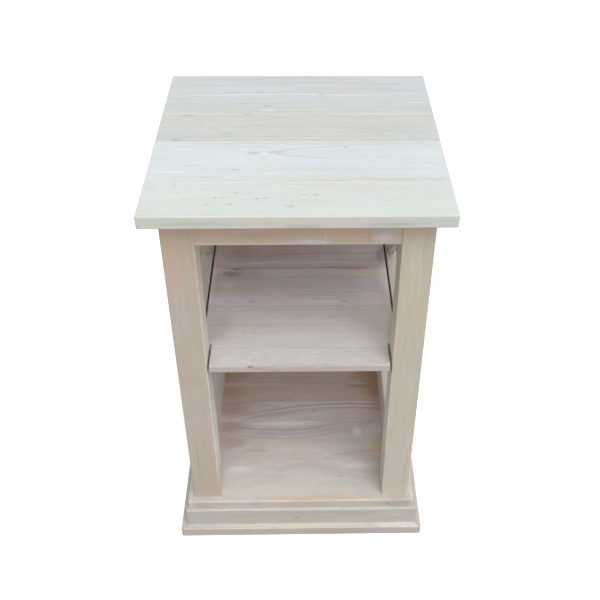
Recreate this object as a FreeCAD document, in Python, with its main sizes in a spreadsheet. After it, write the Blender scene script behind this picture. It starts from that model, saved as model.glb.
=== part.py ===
import FreeCAD, Part
import os
import re

import Sketcher
from FreeCAD import Placement, Rotation, Vector

# End table with a shelf, in solid wood: an edge-glued top, four square legs
# joined by dowelled rails, crossed bars in both openings of each side, a
# notched middle shelf, and a floor board on a two-step mitred plinth.
# Millimetres. The origin is on the floor under the middle of the table,
# +Z is up and the open front faces -Y.

os.makedirs("parts", exist_ok=True)
doc = FreeCAD.newDocument("end_table")

# Driving sizes: name, value, meaning
SIZES = [
    ("table_height", 660, "floor to the upper face of the top"),
    ("top_width", 406, "top, side to side"),
    ("top_depth", 406, "top, front to back"),
    ("top_thick", 19, "thickness of the top"),
    ("top_corner", 3, "radius of the top's and floor board's upright corners"),
    ("top_round", 1.2, "radius of the top's upper edges"),
    ("edge_round", 2.5, "radius of the top's lower edges and all the floor board's edges"),
    ("frame_width", 360, "outer face to outer face of the legs, side to side"),
    ("frame_depth", 360, "outer face to outer face of the legs, front to back"),
    ("leg_side", 44, "side of the square leg"),
    ("leg_round", 1.6, "eased corner of the leg"),
    ("rail_thick", 18, "thickness of every rail"),
    ("rail_inset", 1, "front and back rails behind the outer leg faces"),
    ("rail_ease", 1, "eased edge of rails, bars and cleats"),
    ("top_rail_high", 42, "height of the rails under the top"),
    ("mid_rail_high", 44, "height of the side rails beside the shelf"),
    ("low_rail_high", 65, "height of the rails on the floor board"),
    ("bar_thick", 12, "thickness of a crossed bar"),
    ("bar_end", 41, "length of a bar's level end cut"),
    ("shelf_level", 381, "floor to the upper face of the shelf"),
    ("shelf_thick", 14, "thickness of the shelf"),
    ("shelf_gap", 3.4, "open joint between the shelf and the legs or rails"),
    ("shelf_back_gap", 1, "open joint between the shelf and the back panel"),
    ("shelf_round", 2, "radius of the shelf's front edges"),
    ("floor_lip", 10.5, "floor board beyond the outer leg faces"),
    ("floor_thick", 18, "thickness of the floor board"),
    ("plinth_step", 5, "plinth beyond the floor board"),
    ("plinth_high", 38, "height of the plinth boards"),
    ("plinth_thick", 18, "thickness of the plinth boards"),
    ("base_step", 9.5, "base moulding beyond the plinth"),
    ("base_high", 18, "thickness of the base moulding"),
    ("base_wide", 40, "width of the base moulding, laid flat"),
    ("step_corner", 3, "radius of the plinth's and base moulding's upright corners"),
    ("step_round", 1.5, "radius of the plinth's and base moulding's upper edges"),
    ("panel_thick", 6, "thickness of the back panel"),
    ("panel_groove", 6, "depth of the back panel's grooves in the rear legs"),
    ("panel_gap", 0.2, "clearance of the back panel in its grooves"),
    ("cleat_side", 18, "side of the square cleats"),
    ("cleat_gap", 1, "cleat ends short of the legs"),
    ("block_long", 60, "length of a glue block inside the plinth"),
    ("block_side", 25, "width of a glue block inside the plinth"),
    ("block_high", 32, "height of a glue block inside the plinth"),
    ("dowel_across", 8, "diameter of a rail dowel"),
    ("dowel_long", 30, "length of a rail dowel, half in each piece"),
    ("dowel_edge", 11, "rail edge to the middle of the nearest dowel"),
    ("pin_across", 6, "diameter of a bar pin"),
    ("pin_long", 20, "length of a bar pin, half in each piece"),
    ("pin_edge", 12, "middle of the pin from the inner end of the bar's cut"),
    ("hole_gap", 0.1, "clearance all round dowels, pins and screws"),
    ("dowel_chamfer", 0.8, "chamfer on the ends of dowels and pins"),
    ("screw_across", 4, "diameter of a screw's shank"),
    ("head_across", 8, "diameter of a screw's head"),
    ("head_high", 3, "height of a screw's head"),
    ("head_round", 1, "bevel round a screw's head"),
    ("screw_tip", 4, "length of a screw's point"),
    ("short_screw", 28, "length of the cleat, shelf, top and base screws"),
    ("long_screw", 46, "length of the leg and plinth screws"),
    ("top_screw_reach", 80, "top screws from the middle of the cleat"),
    ("cleat_screw_reach", 40, "cleat screws from the middle of the cleat"),
    ("shelf_screw_reach", 80, "shelf screws from the middle of the cleat"),
    ("base_screw_reach", 100, "base screws from the middle of the board"),
    ("head_sink", 4, "recess of the base screws' heads"),
    ("head_room", 0.5, "clearance round a sunk screw head"),
]

# Widths of the glued staves, from the front edge; the last takes the rest
TOP_STAVES = [
    ("top_stave_wide_1", 85, "front stave of the top"),
    ("top_stave_wide_2", 106, "second stave of the top"),
    ("top_stave_wide_3", 74, "third stave of the top"),
    ("top_stave_wide_4", 42, "fourth stave of the top"),
]
SHELF_STAVES = [
    ("shelf_stave_wide_1", 38, "front stave of the shelf"),
    ("shelf_stave_wide_2", 98, "second stave of the shelf"),
    ("shelf_stave_wide_3", 101, "third stave of the shelf"),
]
FLOOR_STAVES = [
    ("floor_stave_wide_1", 88.5, "front stave of the floor board"),
    ("floor_stave_wide_2", 89, "second stave of the floor board"),
    ("floor_stave_wide_3", 50, "third stave of the floor board"),
    ("floor_stave_wide_4", 50, "fourth stave of the floor board"),
]

# Places that follow from the sizes, as formulas in the same words
PLACES = {
    "under_top": "table_height - top_thick",
    "plinth_top": "base_high + plinth_high",
    "floor_top": "plinth_top + floor_thick",
    "leg_long": "under_top - floor_top",
    "leg_x": "frame_width / 2 - leg_side / 2",
    "leg_y": "frame_depth / 2 - leg_side / 2",
    "inner_x": "frame_width / 2 - leg_side",
    "inner_y": "frame_depth / 2 - leg_side",
    "rail_y": "frame_depth / 2 - rail_inset - rail_thick / 2",
    "rail_inner_x": "leg_x - rail_thick / 2",
    "top_rail_low": "under_top - top_rail_high",
    "mid_rail_low": "shelf_level - mid_rail_high",
    "low_rail_top": "floor_top + low_rail_high",
    "shelf_under": "shelf_level - shelf_thick",
    "panel_front": "rail_y - rail_thick / 2 - panel_thick",
    "panel_y": "panel_front + panel_thick / 2",
    "shelf_tongue": "inner_x - shelf_gap",
    "shelf_half": "rail_inner_x - shelf_gap",
    "shelf_notch": "inner_y - shelf_gap",
    "shelf_front": "frame_depth / 2",
    "shelf_back": "panel_front - shelf_back_gap",
    "floor_half_x": "frame_width / 2 + floor_lip",
    "floor_half_y": "frame_depth / 2 + floor_lip",
    "plinth_half_x": "floor_half_x + plinth_step",
    "plinth_half_y": "floor_half_y + plinth_step",
    "base_half_x": "plinth_half_x + base_step",
    "base_half_y": "plinth_half_y + base_step",
    "cleat_x": "rail_inner_x - cleat_side / 2",
    "cleat_long": "2 * inner_y - 2 * cleat_gap",
    "top_cleat_low": "under_top - cleat_side",
    "shelf_cleat_low": "shelf_under - cleat_side",
    "block_x": "plinth_half_x - plinth_thick - block_side / 2",
    "block_y": "plinth_half_y - plinth_thick - block_side / 2",
    "block_low": "plinth_top - block_high",
    "screw_line_x": "plinth_half_x - plinth_thick / 2",
    "screw_line_y": "plinth_half_y - plinth_thick / 2",
    "pin_y": "inner_y - bar_end + pin_edge",
    "dowel_half": "dowel_long / 2",
    "pin_half": "pin_long / 2",
    "dowel_bore": "dowel_across + 2 * hole_gap",
    "pin_bore": "pin_across + 2 * hole_gap",
    "screw_bore": "screw_across + 2 * hole_gap",
    "head_bore": "head_across + 2 * head_room",
}

sheet = doc.addObject("Spreadsheet::Sheet", "sizes")
ALL_SIZES = SIZES + TOP_STAVES + SHELF_STAVES + FLOOR_STAVES
for row, (word, value, meaning) in enumerate(ALL_SIZES, start=1):
    sheet.set("A%d" % row, meaning)
    sheet.set("B%d" % row, str(value))
    sheet.setAlias("B%d" % row, word)
doc.recompute()

WORDS = {word for word, value, meaning in ALL_SIZES}

# An edge this near to an outline counts as lying on it
NEAR = 0.1

parts = []
cuts = []


def formula(text):
    """Write a formula out in the cells of the sheet."""
    def spell(match):
        word = match.group(0)
        if word in PLACES:
            return "(" + formula(PLACES[word]) + ")"
        if word in WORDS:
            return "sizes." + word
        raise ValueError("no size is called " + word)
    return re.sub(r"[a-z]\w*", spell, text)


def number(text):
    """Value of a formula now."""
    return float(sheet.evalExpression(formula(text)))


def bind(thing, prop, text):
    """Tie a property to a formula."""
    thing.setExpression(prop, formula(text))


def put(thing, x, y, z):
    """Place a sub-part by formulas."""
    bind(thing, "Placement.Base.x", x)
    bind(thing, "Placement.Base.y", y)
    bind(thing, "Placement.Base.z", z)


def new_body(label, x="0", y="0", z="0"):
    body = doc.addObject("PartDesign::Body", label)
    body.Label = label
    put(body, x, y, z)
    return body


def add_sketch(body, name, role, level):
    """Empty sketch parallel to one of the body's own planes."""
    sketch = body.newObject("Sketcher::SketchObject", name)
    plane = next(item for item in body.Origin.OriginFeatures if item.Role == role)
    sketch.AttachmentSupport = [(plane, "")]
    sketch.MapMode = "FlatFace"
    bind(sketch, "AttachmentOffset.Base.z", level)
    return sketch


def fix_point(sketch, line, point, along, text, tag):
    """Hold one coordinate of a sketch point; a plain 0 lies on the axis."""
    if text == "0":
        axis = -2 if along == "x" else -1
        sketch.addConstraint(Sketcher.Constraint("PointOnObject", line, point, axis))
        return
    kind = "DistanceX" if along == "x" else "DistanceY"
    place = sketch.addConstraint(Sketcher.Constraint(kind, -1, 1, line, point, number(text)))
    sketch.renameConstraint(place, tag)
    bind(sketch, "Constraints." + tag, text)


def add_loop(sketch, points, tag):
    """Closed loop of straight lines through points given as formulas."""
    first = sketch.GeometryCount
    corners = [Vector(number(x), number(y), 0) for x, y in points]
    count = len(corners)
    for index in range(count):
        line = Part.LineSegment(corners[index], corners[(index + 1) % count])
        sketch.addGeometry(line, False)
    for index in range(count):
        here = first + index
        after = first + (index + 1) % count
        sketch.addConstraint(Sketcher.Constraint("Coincident", here, 2, after, 1))
    for index, (x, y) in enumerate(points):
        fix_point(sketch, first + index, 1, "x", x, "%s_x%d" % (tag, index))
        fix_point(sketch, first + index, 1, "y", y, "%s_y%d" % (tag, index))


def rectangle(half_x, half_y):
    return [
        ("-(%s)" % half_x, "-(%s)" % half_y),
        (half_x, "-(%s)" % half_y),
        (half_x, half_y),
        ("-(%s)" % half_x, half_y),
    ]


def pad(body, name, role, loops, length, level="0"):
    """Prism on the loops, from a level above the body's own plane, along its normal."""
    sketch = add_sketch(body, name + "_outline", role, level)
    for index, points in enumerate(loops):
        add_loop(sketch, points, "loop%d" % index)
    feature = body.newObject("PartDesign::Pad", name)
    feature.Profile = sketch
    bind(feature, "Length", length)
    doc.recompute()


def pocket(body, sketch, name, length, forward):
    """Cut along the sketch's normal when forward, else against it."""
    before = body.Tip
    feature = body.newObject("PartDesign::Pocket", name)
    feature.Profile = sketch
    feature.Reversed = forward
    bind(feature, "Length", length)
    cuts.append((before, feature))


def cut(body, name, role, level, points, depth, forward):
    sketch = add_sketch(body, name + "_outline", role, level)
    add_loop(sketch, points, "loop")
    pocket(body, sketch, name, depth, forward)


def drill(body, name, role, level, spots, across, depth, forward):
    """Round holes at spots in the plane, each spot a pair of formulas."""
    sketch = add_sketch(body, name + "_centres", role, level)
    for index, (x, y) in enumerate(spots):
        centre = Vector(number(x), number(y), 0)
        radius = number(across) / 2
        sketch.addGeometry(Part.Circle(centre, Vector(0, 0, 1), radius), False)
        fix_point(sketch, index, 3, "x", x, "x%d" % index)
        fix_point(sketch, index, 3, "y", y, "y%d" % index)
        size = Sketcher.Constraint("Diameter", index, 2 * radius)
        place = sketch.addConstraint(size)
        sketch.renameConstraint(place, "across%d" % index)
        bind(sketch, "Constraints.across%d" % index, across)
    pocket(body, sketch, name, depth, forward)


def straight_edges(feature, keep):
    """Names of the straight edges whose direction and middle pass keep."""
    names = []
    for index, edge in enumerate(feature.Shape.Edges, start=1):
        if isinstance(edge.Curve, Part.Line):
            run = edge.Vertexes[-1].Point - edge.Vertexes[0].Point
            if keep(run.normalize(), edge.CenterOfMass):
                names.append("Edge%d" % index)
    return names


def ease(body, name, radius, keep):
    """Round over the straight edges that keep picks."""
    before = body.Tip
    feature = body.newObject("PartDesign::Fillet", name)
    feature.Base = (before, straight_edges(before, keep))
    bind(feature, "Radius", radius)
    doc.recompute()


def along(axis):
    """Edge test: runs along one of the letters x, y and z."""
    unit = {"x": Vector(1, 0, 0), "y": Vector(0, 1, 0), "z": Vector(0, 0, 1)}[axis]
    return lambda run, middle: abs(run.dot(unit)) > 0.999


def perimeter(reach_x, reach_y):
    """Edge test: level and on the outline of a rectangle."""
    def test(run, middle):
        outside = abs(middle.x) > reach_x - NEAR or abs(middle.y) > reach_y - NEAR
        return abs(run.z) < 0.001 and outside
    return test


def keep_part(thing):
    parts.append(thing)
    return thing


def board(label, size, place):
    """Plain board: size along x, y and z, placed by the middle of its lower face."""
    body = new_body(label, *place)
    loops = [rectangle("(%s) / 2" % size[0], "(%s) / 2" % size[1])]
    pad(body, "stock", "XY_Plane", loops, size[2])
    return keep_part(body)


def ease_long(body, run, sides):
    """Ease a board's long edges on the upper side, the lower side or both."""
    heights = [corner.Z for corner in body.Tip.Shape.Vertexes]
    middle = (min(heights) + max(heights)) / 2
    runs = along(run)
    wanted = {
        "upper": lambda line, point: runs(line, point) and point.z > middle,
        "lower": lambda line, point: runs(line, point) and point.z < middle,
        "both": runs,
    }
    ease(body, "eased", "rail_ease", wanted[sides])


def common(label, blank, tool):
    """The piece of a blank that lies within the tool."""
    piece = doc.addObject("Part::Common", label)
    piece.Label = label
    piece.Base = blank
    piece.Tool = tool
    keep_part(piece)


def staves(label, blank, widths, half_x, front, back, low, thick):
    """Saw a glued-up blank into its staves, which run side to side."""
    start = "-(%s)" % front
    for index in range(len(widths) + 1):
        if index < len(widths):
            wide = widths[index][0]
        else:
            wide = "%s - (%s)" % (back, start)
        strip = doc.addObject("Part::Box", "%s_strip_%d" % (label, index + 1))
        bind(strip, "Length", "2 * (%s)" % half_x)
        bind(strip, "Width", wide)
        bind(strip, "Height", thick)
        put(strip, "-(%s)" % half_x, start, low)
        common("%s_stave_%d" % (label, index + 1), blank, strip)
        start = "%s + %s" % (start, wide)


def mitred_ring(label, half_x, half_y, wide, low, high, drillings):
    """Four boards mitred round a rectangle, with rounded outer corners and screw holes."""
    ring = new_body(label + "_ring", "0", "0", low)
    hole_x = "%s - %s" % (half_x, wide)
    hole_y = "%s - %s" % (half_y, wide)
    loops = [rectangle(half_x, half_y), rectangle(hole_x, hole_y)]
    pad(ring, "stock", "XY_Plane", loops, high)
    reach_x = number(half_x)
    reach_y = number(half_y)
    outline = perimeter(reach_x, reach_y)
    middle = number(high) / 2
    ease(ring, "corners", "step_corner",
         lambda run, point: along("z")(run, point) and abs(point.x) > reach_x - NEAR)
    ease(ring, "upper_edge", "step_round",
         lambda run, point: outline(run, point) and point.z > middle)
    for name, across, depth in drillings:
        drill(ring, name, "XY_Plane", "0", base_screw_spots(), across, depth, True)
    corners = {
        "front": [(-1, -1), (1, -1)],
        "back": [(1, 1), (-1, 1)],
        "left": [(-1, 1), (-1, -1)],
        "right": [(1, -1), (1, 1)],
    }
    for side, ends in corners.items():
        outer = [("%d * (%s)" % (x, half_x), "%d * (%s)" % (y, half_y)) for x, y in ends]
        inner = [("%d * (%s)" % (x, hole_x), "%d * (%s)" % (y, hole_y)) for x, y in reversed(ends)]
        saw = new_body("%s_%s_saw" % (label, side), "0", "0", low)
        pad(saw, "cut", "XY_Plane", [outer + inner], high)
        common("%s_%s" % (label, side), ring, saw)


def copies(label, source, spots):
    """One node of separate like solids, each placed by formulas and turned."""
    links = []
    for index, (x, y, z, turn) in enumerate(spots, start=1):
        link = doc.addObject("App::Link", "%s_%d" % (label, index))
        link.LinkedObject = source
        link.Placement = Placement(Vector(0, 0, 0), turn)
        put(link, x, y, z)
        links.append(link)
    group = doc.addObject("Part::Compound", label)
    group.Label = label
    group.Links = links
    keep_part(group)


# Names of the two sides and the two ends, with their signs
SIDES = [("left", -1), ("right", 1)]
ENDS = [("front", -1), ("back", 1)]

UPWARD = Rotation(0, 0, 0)
TO_SIDE = {-1: Rotation(Vector(0, 1, 0), -90), 1: Rotation(Vector(0, 1, 0), 90)}
TO_END = {-1: Rotation(Vector(1, 0, 0), 90), 1: Rotation(Vector(1, 0, 0), -90)}

# Rails: lowest edge and height, in the words above
TOP_RAIL = ("top_rail_low", "top_rail_high")
MID_RAIL = ("mid_rail_low", "mid_rail_high")
LOW_RAIL = ("floor_top", "low_rail_high")

# Middles of the glue blocks under the floor board, one at each side
BLOCK_SPOTS = [("0", "-block_y"), ("0", "block_y"), ("-block_x", "0"), ("block_x", "0")]


def dowel_heights(rail, base):
    """Heights of a rail's two dowels above a base, as formulas."""
    low, high = rail
    return [
        "%s + dowel_edge - (%s)" % (low, base),
        "%s + %s - dowel_edge - (%s)" % (low, high, base),
    ]


def make_legs():
    for end, sy in ENDS:
        for side, sx in SIDES:
            label = "leg_%s_%s" % (end, side)
            place = ("%d * leg_x" % sx, "%d * leg_y" % sy, "floor_top")
            leg = board(label, ("leg_side", "leg_side", "leg_long"), place)
            ease(leg, "corners", "leg_round", along("z"))
            side_holes = []
            for rail in (TOP_RAIL, MID_RAIL, LOW_RAIL):
                side_holes += [("0", up) for up in dowel_heights(rail, "floor_top")]
            depth = "dowel_half + hole_gap"
            drill(leg, "side_rail_holes", "XZ_Plane", "%d * leg_side / 2" % sy, side_holes,
                  "dowel_bore", depth, sy < 0)
            rails = (TOP_RAIL,) if end == "front" else (TOP_RAIL, LOW_RAIL)
            end_holes = []
            for rail in rails:
                across = "%d * (rail_y - leg_y)" % sy
                end_holes += [(across, up) for up in dowel_heights(rail, "floor_top")]
            drill(leg, "end_rail_holes", "YZ_Plane", "%d * leg_side / 2" % -sx, end_holes,
                  "dowel_bore", depth, sx > 0)
            drill(leg, "foot_hole", "XY_Plane", "0", [("0", "0")], "screw_bore",
                  "long_screw - floor_thick + hole_gap", True)
            if end == "back":
                low = "panel_front - leg_y - panel_gap"
                high = "panel_front + panel_thick - leg_y + panel_gap"
                groove = [(low, "0"), (high, "0"), (high, "leg_long"), (low, "leg_long")]
                cut(leg, "panel_groove", "YZ_Plane", "%d * leg_side / 2" % -sx, groove,
                    "panel_groove + panel_gap", sx > 0)


def end_rail(label, sy, rail, eased):
    """Rail along the front or the back, with two dowels in each end."""
    low, high = rail
    place = ("0", "%d * rail_y" % sy, low)
    body = board(label, ("2 * inner_x", "rail_thick", high), place)
    ease_long(body, "x", eased)
    for side, sx in SIDES:
        holes = [("0", up) for up in dowel_heights(rail, low)]
        drill(body, "holes_" + side, "YZ_Plane", "%d * inner_x" % sx, holes,
              "dowel_bore", "dowel_half + hole_gap", sx < 0)


def side_rail(label, sx, rail, eased, pins_above, pins_below, screw_up):
    """Rail along one side, with dowels in its ends and pins for the bars."""
    low, high = rail
    place = ("%d * leg_x" % sx, "0", low)
    body = board(label, ("rail_thick", "2 * inner_y", high), place)
    ease_long(body, "y", eased)
    for end, sy in ENDS:
        holes = [("0", up) for up in dowel_heights(rail, low)]
        drill(body, "holes_" + end, "XZ_Plane", "%d * inner_y" % -sy, holes,
              "dowel_bore", "dowel_half + hole_gap", sy > 0)
    pins = [("0", "pin_y"), ("0", "-pin_y")]
    depth = "pin_half + hole_gap"
    if pins_above:
        drill(body, "pins_above", "XY_Plane", high, pins, "pin_bore", depth, False)
    if pins_below:
        drill(body, "pins_below", "XY_Plane", "0", pins, "pin_bore", depth, True)
    if screw_up:
        spots = [("cleat_screw_reach", screw_up), ("-cleat_screw_reach", screw_up)]
        drill(body, "cleat_screw_holes", "YZ_Plane", "%d * rail_thick / 2" % -sx, spots,
              "screw_bore", "short_screw - cleat_side + hole_gap", sx > 0)


def make_rails():
    for end, sy in ENDS:
        end_rail("top_rail_" + end, sy, TOP_RAIL, "lower")
    end_rail("low_rail_back", 1, LOW_RAIL, "upper")
    for side, sx in SIDES:
        top_screw_up = "top_cleat_low + cleat_side / 2 - (top_rail_low)"
        shelf_screw_up = "shelf_cleat_low + cleat_side / 2 - (mid_rail_low)"
        side_rail("top_rail_" + side, sx, TOP_RAIL, "lower", False, True, top_screw_up)
        side_rail("mid_rail_" + side, sx, MID_RAIL, "both", True, True, shelf_screw_up)
        side_rail("low_rail_" + side, sx, LOW_RAIL, "upper", True, False, None)


def crossed_bar(label, sx, low, high, turned):
    """Bar from corner to corner of a side opening, half-lapped at the middle."""
    body = new_body(label, "%d * leg_x" % sx, "0", low)
    if turned:
        body.Placement = Placement(Vector(0, 0, 0), Rotation(Vector(0, 0, 1), 180))
        put(body, "%d * leg_x" % sx, "0", low)
    rise = "%s - (%s)" % (high, low)
    falling = [
        ("-(inner_y)", rise),
        ("inner_y - bar_end", "0"),
        ("inner_y", "0"),
        ("-(inner_y - bar_end)", rise),
    ]
    rising = [
        ("inner_y", rise),
        ("-(inner_y - bar_end)", "0"),
        ("-(inner_y)", "0"),
        ("inner_y - bar_end", rise),
    ]
    half = "bar_thick / 2"
    pad(body, "stock", "YZ_Plane", [falling], "bar_thick", "-(%s)" % half)
    ease(body, "eased", "rail_ease", lambda run, middle: abs(run.z) > 0.3)
    cut(body, "half_lap", "YZ_Plane", "0", rising, half, True)
    depth = "pin_half + hole_gap"
    drill(body, "pin_below", "XY_Plane", "0", [("0", "pin_y")], "pin_bore", depth, True)
    drill(body, "pin_above", "XY_Plane", rise, [("0", "-pin_y")], "pin_bore", depth, False)
    keep_part(body)


def make_bars():
    openings = {
        "upper": ("shelf_level", "top_rail_low"),
        "lower": ("low_rail_top", "mid_rail_low"),
    }
    for side, sx in SIDES:
        for opening, (low, high) in openings.items():
            crossed_bar("bar_%s_%s_falling" % (side, opening), sx, low, high, False)
            crossed_bar("bar_%s_%s_rising" % (side, opening), sx, low, high, True)


def slab_blank(label, half_x, half_y, low, thick, upper_round):
    """Glued-up rectangular blank with rounded corners and edges."""
    body = new_body(label, "0", "0", low)
    pad(body, "stock", "XY_Plane", [rectangle(half_x, half_y)], thick)
    ease(body, "corners", "top_corner", along("z"))
    outline = perimeter(number(half_x), number(half_y))
    middle = number(thick) / 2
    ease(body, "upper_edges", upper_round,
         lambda run, point: outline(run, point) and point.z > middle)
    ease(body, "lower_edges", "edge_round",
         lambda run, point: outline(run, point) and point.z < middle)
    return body


def make_top():
    blank = slab_blank("top_blank", "top_width / 2", "top_depth / 2", "under_top", "top_thick",
                       "top_round")
    spots = []
    for side, sx in SIDES:
        for end, sy in ENDS:
            spots.append(("%d * cleat_x" % sx, "%d * top_screw_reach" % sy))
    drill(blank, "screw_holes", "XY_Plane", "0", spots, "screw_bore",
          "short_screw - cleat_side + hole_gap", True)
    staves("top", blank, TOP_STAVES, "top_width / 2", "top_depth / 2", "top_depth / 2",
           "under_top", "top_thick")


def make_shelf():
    blank = new_body("shelf_blank", "0", "0", "shelf_under")
    half = [
        ("shelf_tongue", "-(shelf_front)"),
        ("shelf_tongue", "-(shelf_notch)"),
        ("shelf_half", "-(shelf_notch)"),
        ("shelf_half", "shelf_notch"),
        ("shelf_tongue", "shelf_notch"),
        ("shelf_tongue", "shelf_back"),
    ]
    mirrored = [("-(%s)" % x, y) for x, y in reversed(half)]
    pad(blank, "stock", "XY_Plane", [half + mirrored], "shelf_thick")
    front = number("shelf_front")
    ease(blank, "front_edge", "shelf_round",
         lambda run, middle: along("x")(run, middle) and middle.y < 1 - front)
    spots = []
    for side, sx in SIDES:
        for end, sy in ENDS:
            spots.append(("%d * cleat_x" % sx, "%d * shelf_screw_reach" % sy))
    drill(blank, "screw_holes", "XY_Plane", "0", spots, "screw_bore",
          "short_screw - cleat_side + hole_gap", True)
    staves("shelf", blank, SHELF_STAVES, "shelf_half", "shelf_front", "shelf_back",
           "shelf_under", "shelf_thick")


def make_floor_board():
    blank = slab_blank("floor_blank", "floor_half_x", "floor_half_y", "plinth_top",
                       "floor_thick", "edge_round")
    legs = [("%d * leg_x" % sx, "%d * leg_y" % sy) for side, sx in SIDES for end, sy in ENDS]
    drill(blank, "leg_screw_holes", "XY_Plane", "0", legs, "screw_bore", "floor_thick", True)
    drill(blank, "block_screw_holes", "XY_Plane", "0", BLOCK_SPOTS, "screw_bore",
          "long_screw - block_high + hole_gap", True)
    staves("floor", blank, FLOOR_STAVES, "floor_half_x", "floor_half_y", "floor_half_y",
           "plinth_top", "floor_thick")


def base_screw_spots():
    """Two screws through each board of the base moulding into the plinth above."""
    spots = []
    for side, sign in SIDES:
        for end, reach in ENDS:
            spots.append(("%d * screw_line_x" % sign, "%d * base_screw_reach" % reach))
            spots.append(("%d * base_screw_reach" % reach, "%d * screw_line_y" % sign))
    return spots


def make_plinth():
    pilot = ("pilot", "screw_bore", "short_screw - (base_high - head_sink) + hole_gap")
    mitred_ring("plinth", "plinth_half_x", "plinth_half_y", "plinth_thick", "base_high",
                "plinth_high", [pilot])
    clearance = ("clearance", "screw_bore", "base_high")
    head_seat = ("head_seat", "head_bore", "head_sink")
    mitred_ring("base", "base_half_x", "base_half_y", "base_wide", "0", "base_high",
                [clearance, head_seat])
    blocks = []
    for index, (x, y) in enumerate(BLOCK_SPOTS, start=1):
        size = ("block_long", "block_side") if x == "0" else ("block_side", "block_long")
        block = new_body("plinth_block_%d" % index, x, y, "block_low")
        loops = [rectangle("%s / 2" % size[0], "%s / 2" % size[1])]
        pad(block, "stock", "XY_Plane", loops, "block_high")
        ease(block, "corners", "leg_round", along("z"))
        drill(block, "screw_hole", "XY_Plane", "0", [("0", "0")], "screw_bore", "block_high", True)
        blocks.append(block)
    group = doc.addObject("Part::Compound", "plinth_blocks")
    group.Label = "plinth_blocks"
    group.Links = blocks
    keep_part(group)


def make_back_panel():
    half = "inner_x + panel_groove"
    board("back_panel", ("2 * (%s)" % half, "panel_thick", "leg_long"), ("0", "panel_y", "floor_top"))


def make_cleats():
    for kind, low, reach in (("top", "top_cleat_low", "top_screw_reach"),
                             ("shelf", "shelf_cleat_low", "shelf_screw_reach")):
        for side, sx in SIDES:
            place = ("%d * cleat_x" % sx, "0", low)
            size = ("cleat_side", "cleat_long", "cleat_side")
            cleat = board("%s_cleat_%s" % (kind, side), size, place)
            ease_long(cleat, "y", "lower")
            upright = [("0", reach), ("0", "-" + reach)]
            drill(cleat, "upright_holes", "XY_Plane", "0", upright, "screw_bore", "cleat_side", True)
            level = [("cleat_screw_reach", "cleat_side / 2"), ("-cleat_screw_reach", "cleat_side / 2")]
            drill(cleat, "level_holes", "YZ_Plane", "%d * cleat_side / 2" % -sx, level,
                  "screw_bore", "cleat_side", sx > 0)


def make_dowel(label, across, length):
    """Plain dowel with chamfered ends, centred on its own middle."""
    body = new_body(label)
    sketch = add_sketch(body, "section", "XY_Plane", "-(%s) / 2" % length)
    sketch.addGeometry(Part.Circle(Vector(0, 0, 0), Vector(0, 0, 1), number(across) / 2), False)
    sketch.addConstraint(Sketcher.Constraint("Coincident", 0, 3, -1, 1))
    place = sketch.addConstraint(Sketcher.Constraint("Diameter", 0, number(across)))
    sketch.renameConstraint(place, "across")
    bind(sketch, "Constraints.across", across)
    rod = body.newObject("PartDesign::Pad", "rod")
    rod.Profile = sketch
    bind(rod, "Length", length)
    doc.recompute()
    chamfer = body.newObject("PartDesign::Chamfer", "ends")
    rims = [index for index, edge in enumerate(rod.Shape.Edges, start=1)
            if isinstance(edge.Curve, Part.Circle)]
    chamfer.Base = (rod, ["Edge%d" % index for index in rims])
    bind(chamfer, "Size", "dowel_chamfer")
    doc.recompute()
    return body


def make_screw(label, length):
    """Pan-head wood screw: its head seats at z = 0 and its point is up."""
    body = new_body(label)
    head = "head_across / 2"
    shank = "screw_across / 2"
    profile = [
        ("0", "-(head_high)"),
        ("%s - head_round" % head, "-(head_high)"),
        (head, "-(head_high - head_round)"),
        (head, "0"),
        (shank, "0"),
        (shank, "%s - screw_tip" % length),
        ("0", length),
    ]
    sketch = add_sketch(body, "profile", "XZ_Plane", "0")
    add_loop(sketch, profile, "loop")
    turned = body.newObject("PartDesign::Revolution", "turned")
    turned.Profile = sketch
    turned.ReferenceAxis = (sketch, ["V_Axis"])
    turned.Angle = 360
    doc.recompute()
    return body


def make_dowels():
    dowel = make_dowel("rail_dowel", "dowel_across", "dowel_long")
    rows = {
        "top_rail_dowels": (TOP_RAIL, ENDS),
        "mid_rail_dowels": (MID_RAIL, []),
        "low_rail_dowels": (LOW_RAIL, ENDS[1:]),
    }
    for label, (rail, cross_rails) in rows.items():
        spots = []
        for up in dowel_heights(rail, "0"):
            for side, sx in SIDES:
                for end, sy in ENDS:
                    spots.append(("%d * leg_x" % sx, "%d * inner_y" % sy, up, TO_END[sy]))
                for end, sy in cross_rails:
                    spots.append(("%d * inner_x" % sx, "%d * rail_y" % sy, up, TO_SIDE[sx]))
        copies(label, dowel, spots)
    pin = make_dowel("bar_pin", "pin_across", "pin_long")
    spots = []
    for side, sx in SIDES:
        for end, sy in ENDS:
            for up in ("low_rail_top", "mid_rail_low", "shelf_level", "top_rail_low"):
                spots.append(("%d * leg_x" % sx, "%d * pin_y" % sy, up, UPWARD))
    copies("bar_pins", pin, spots)


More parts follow.
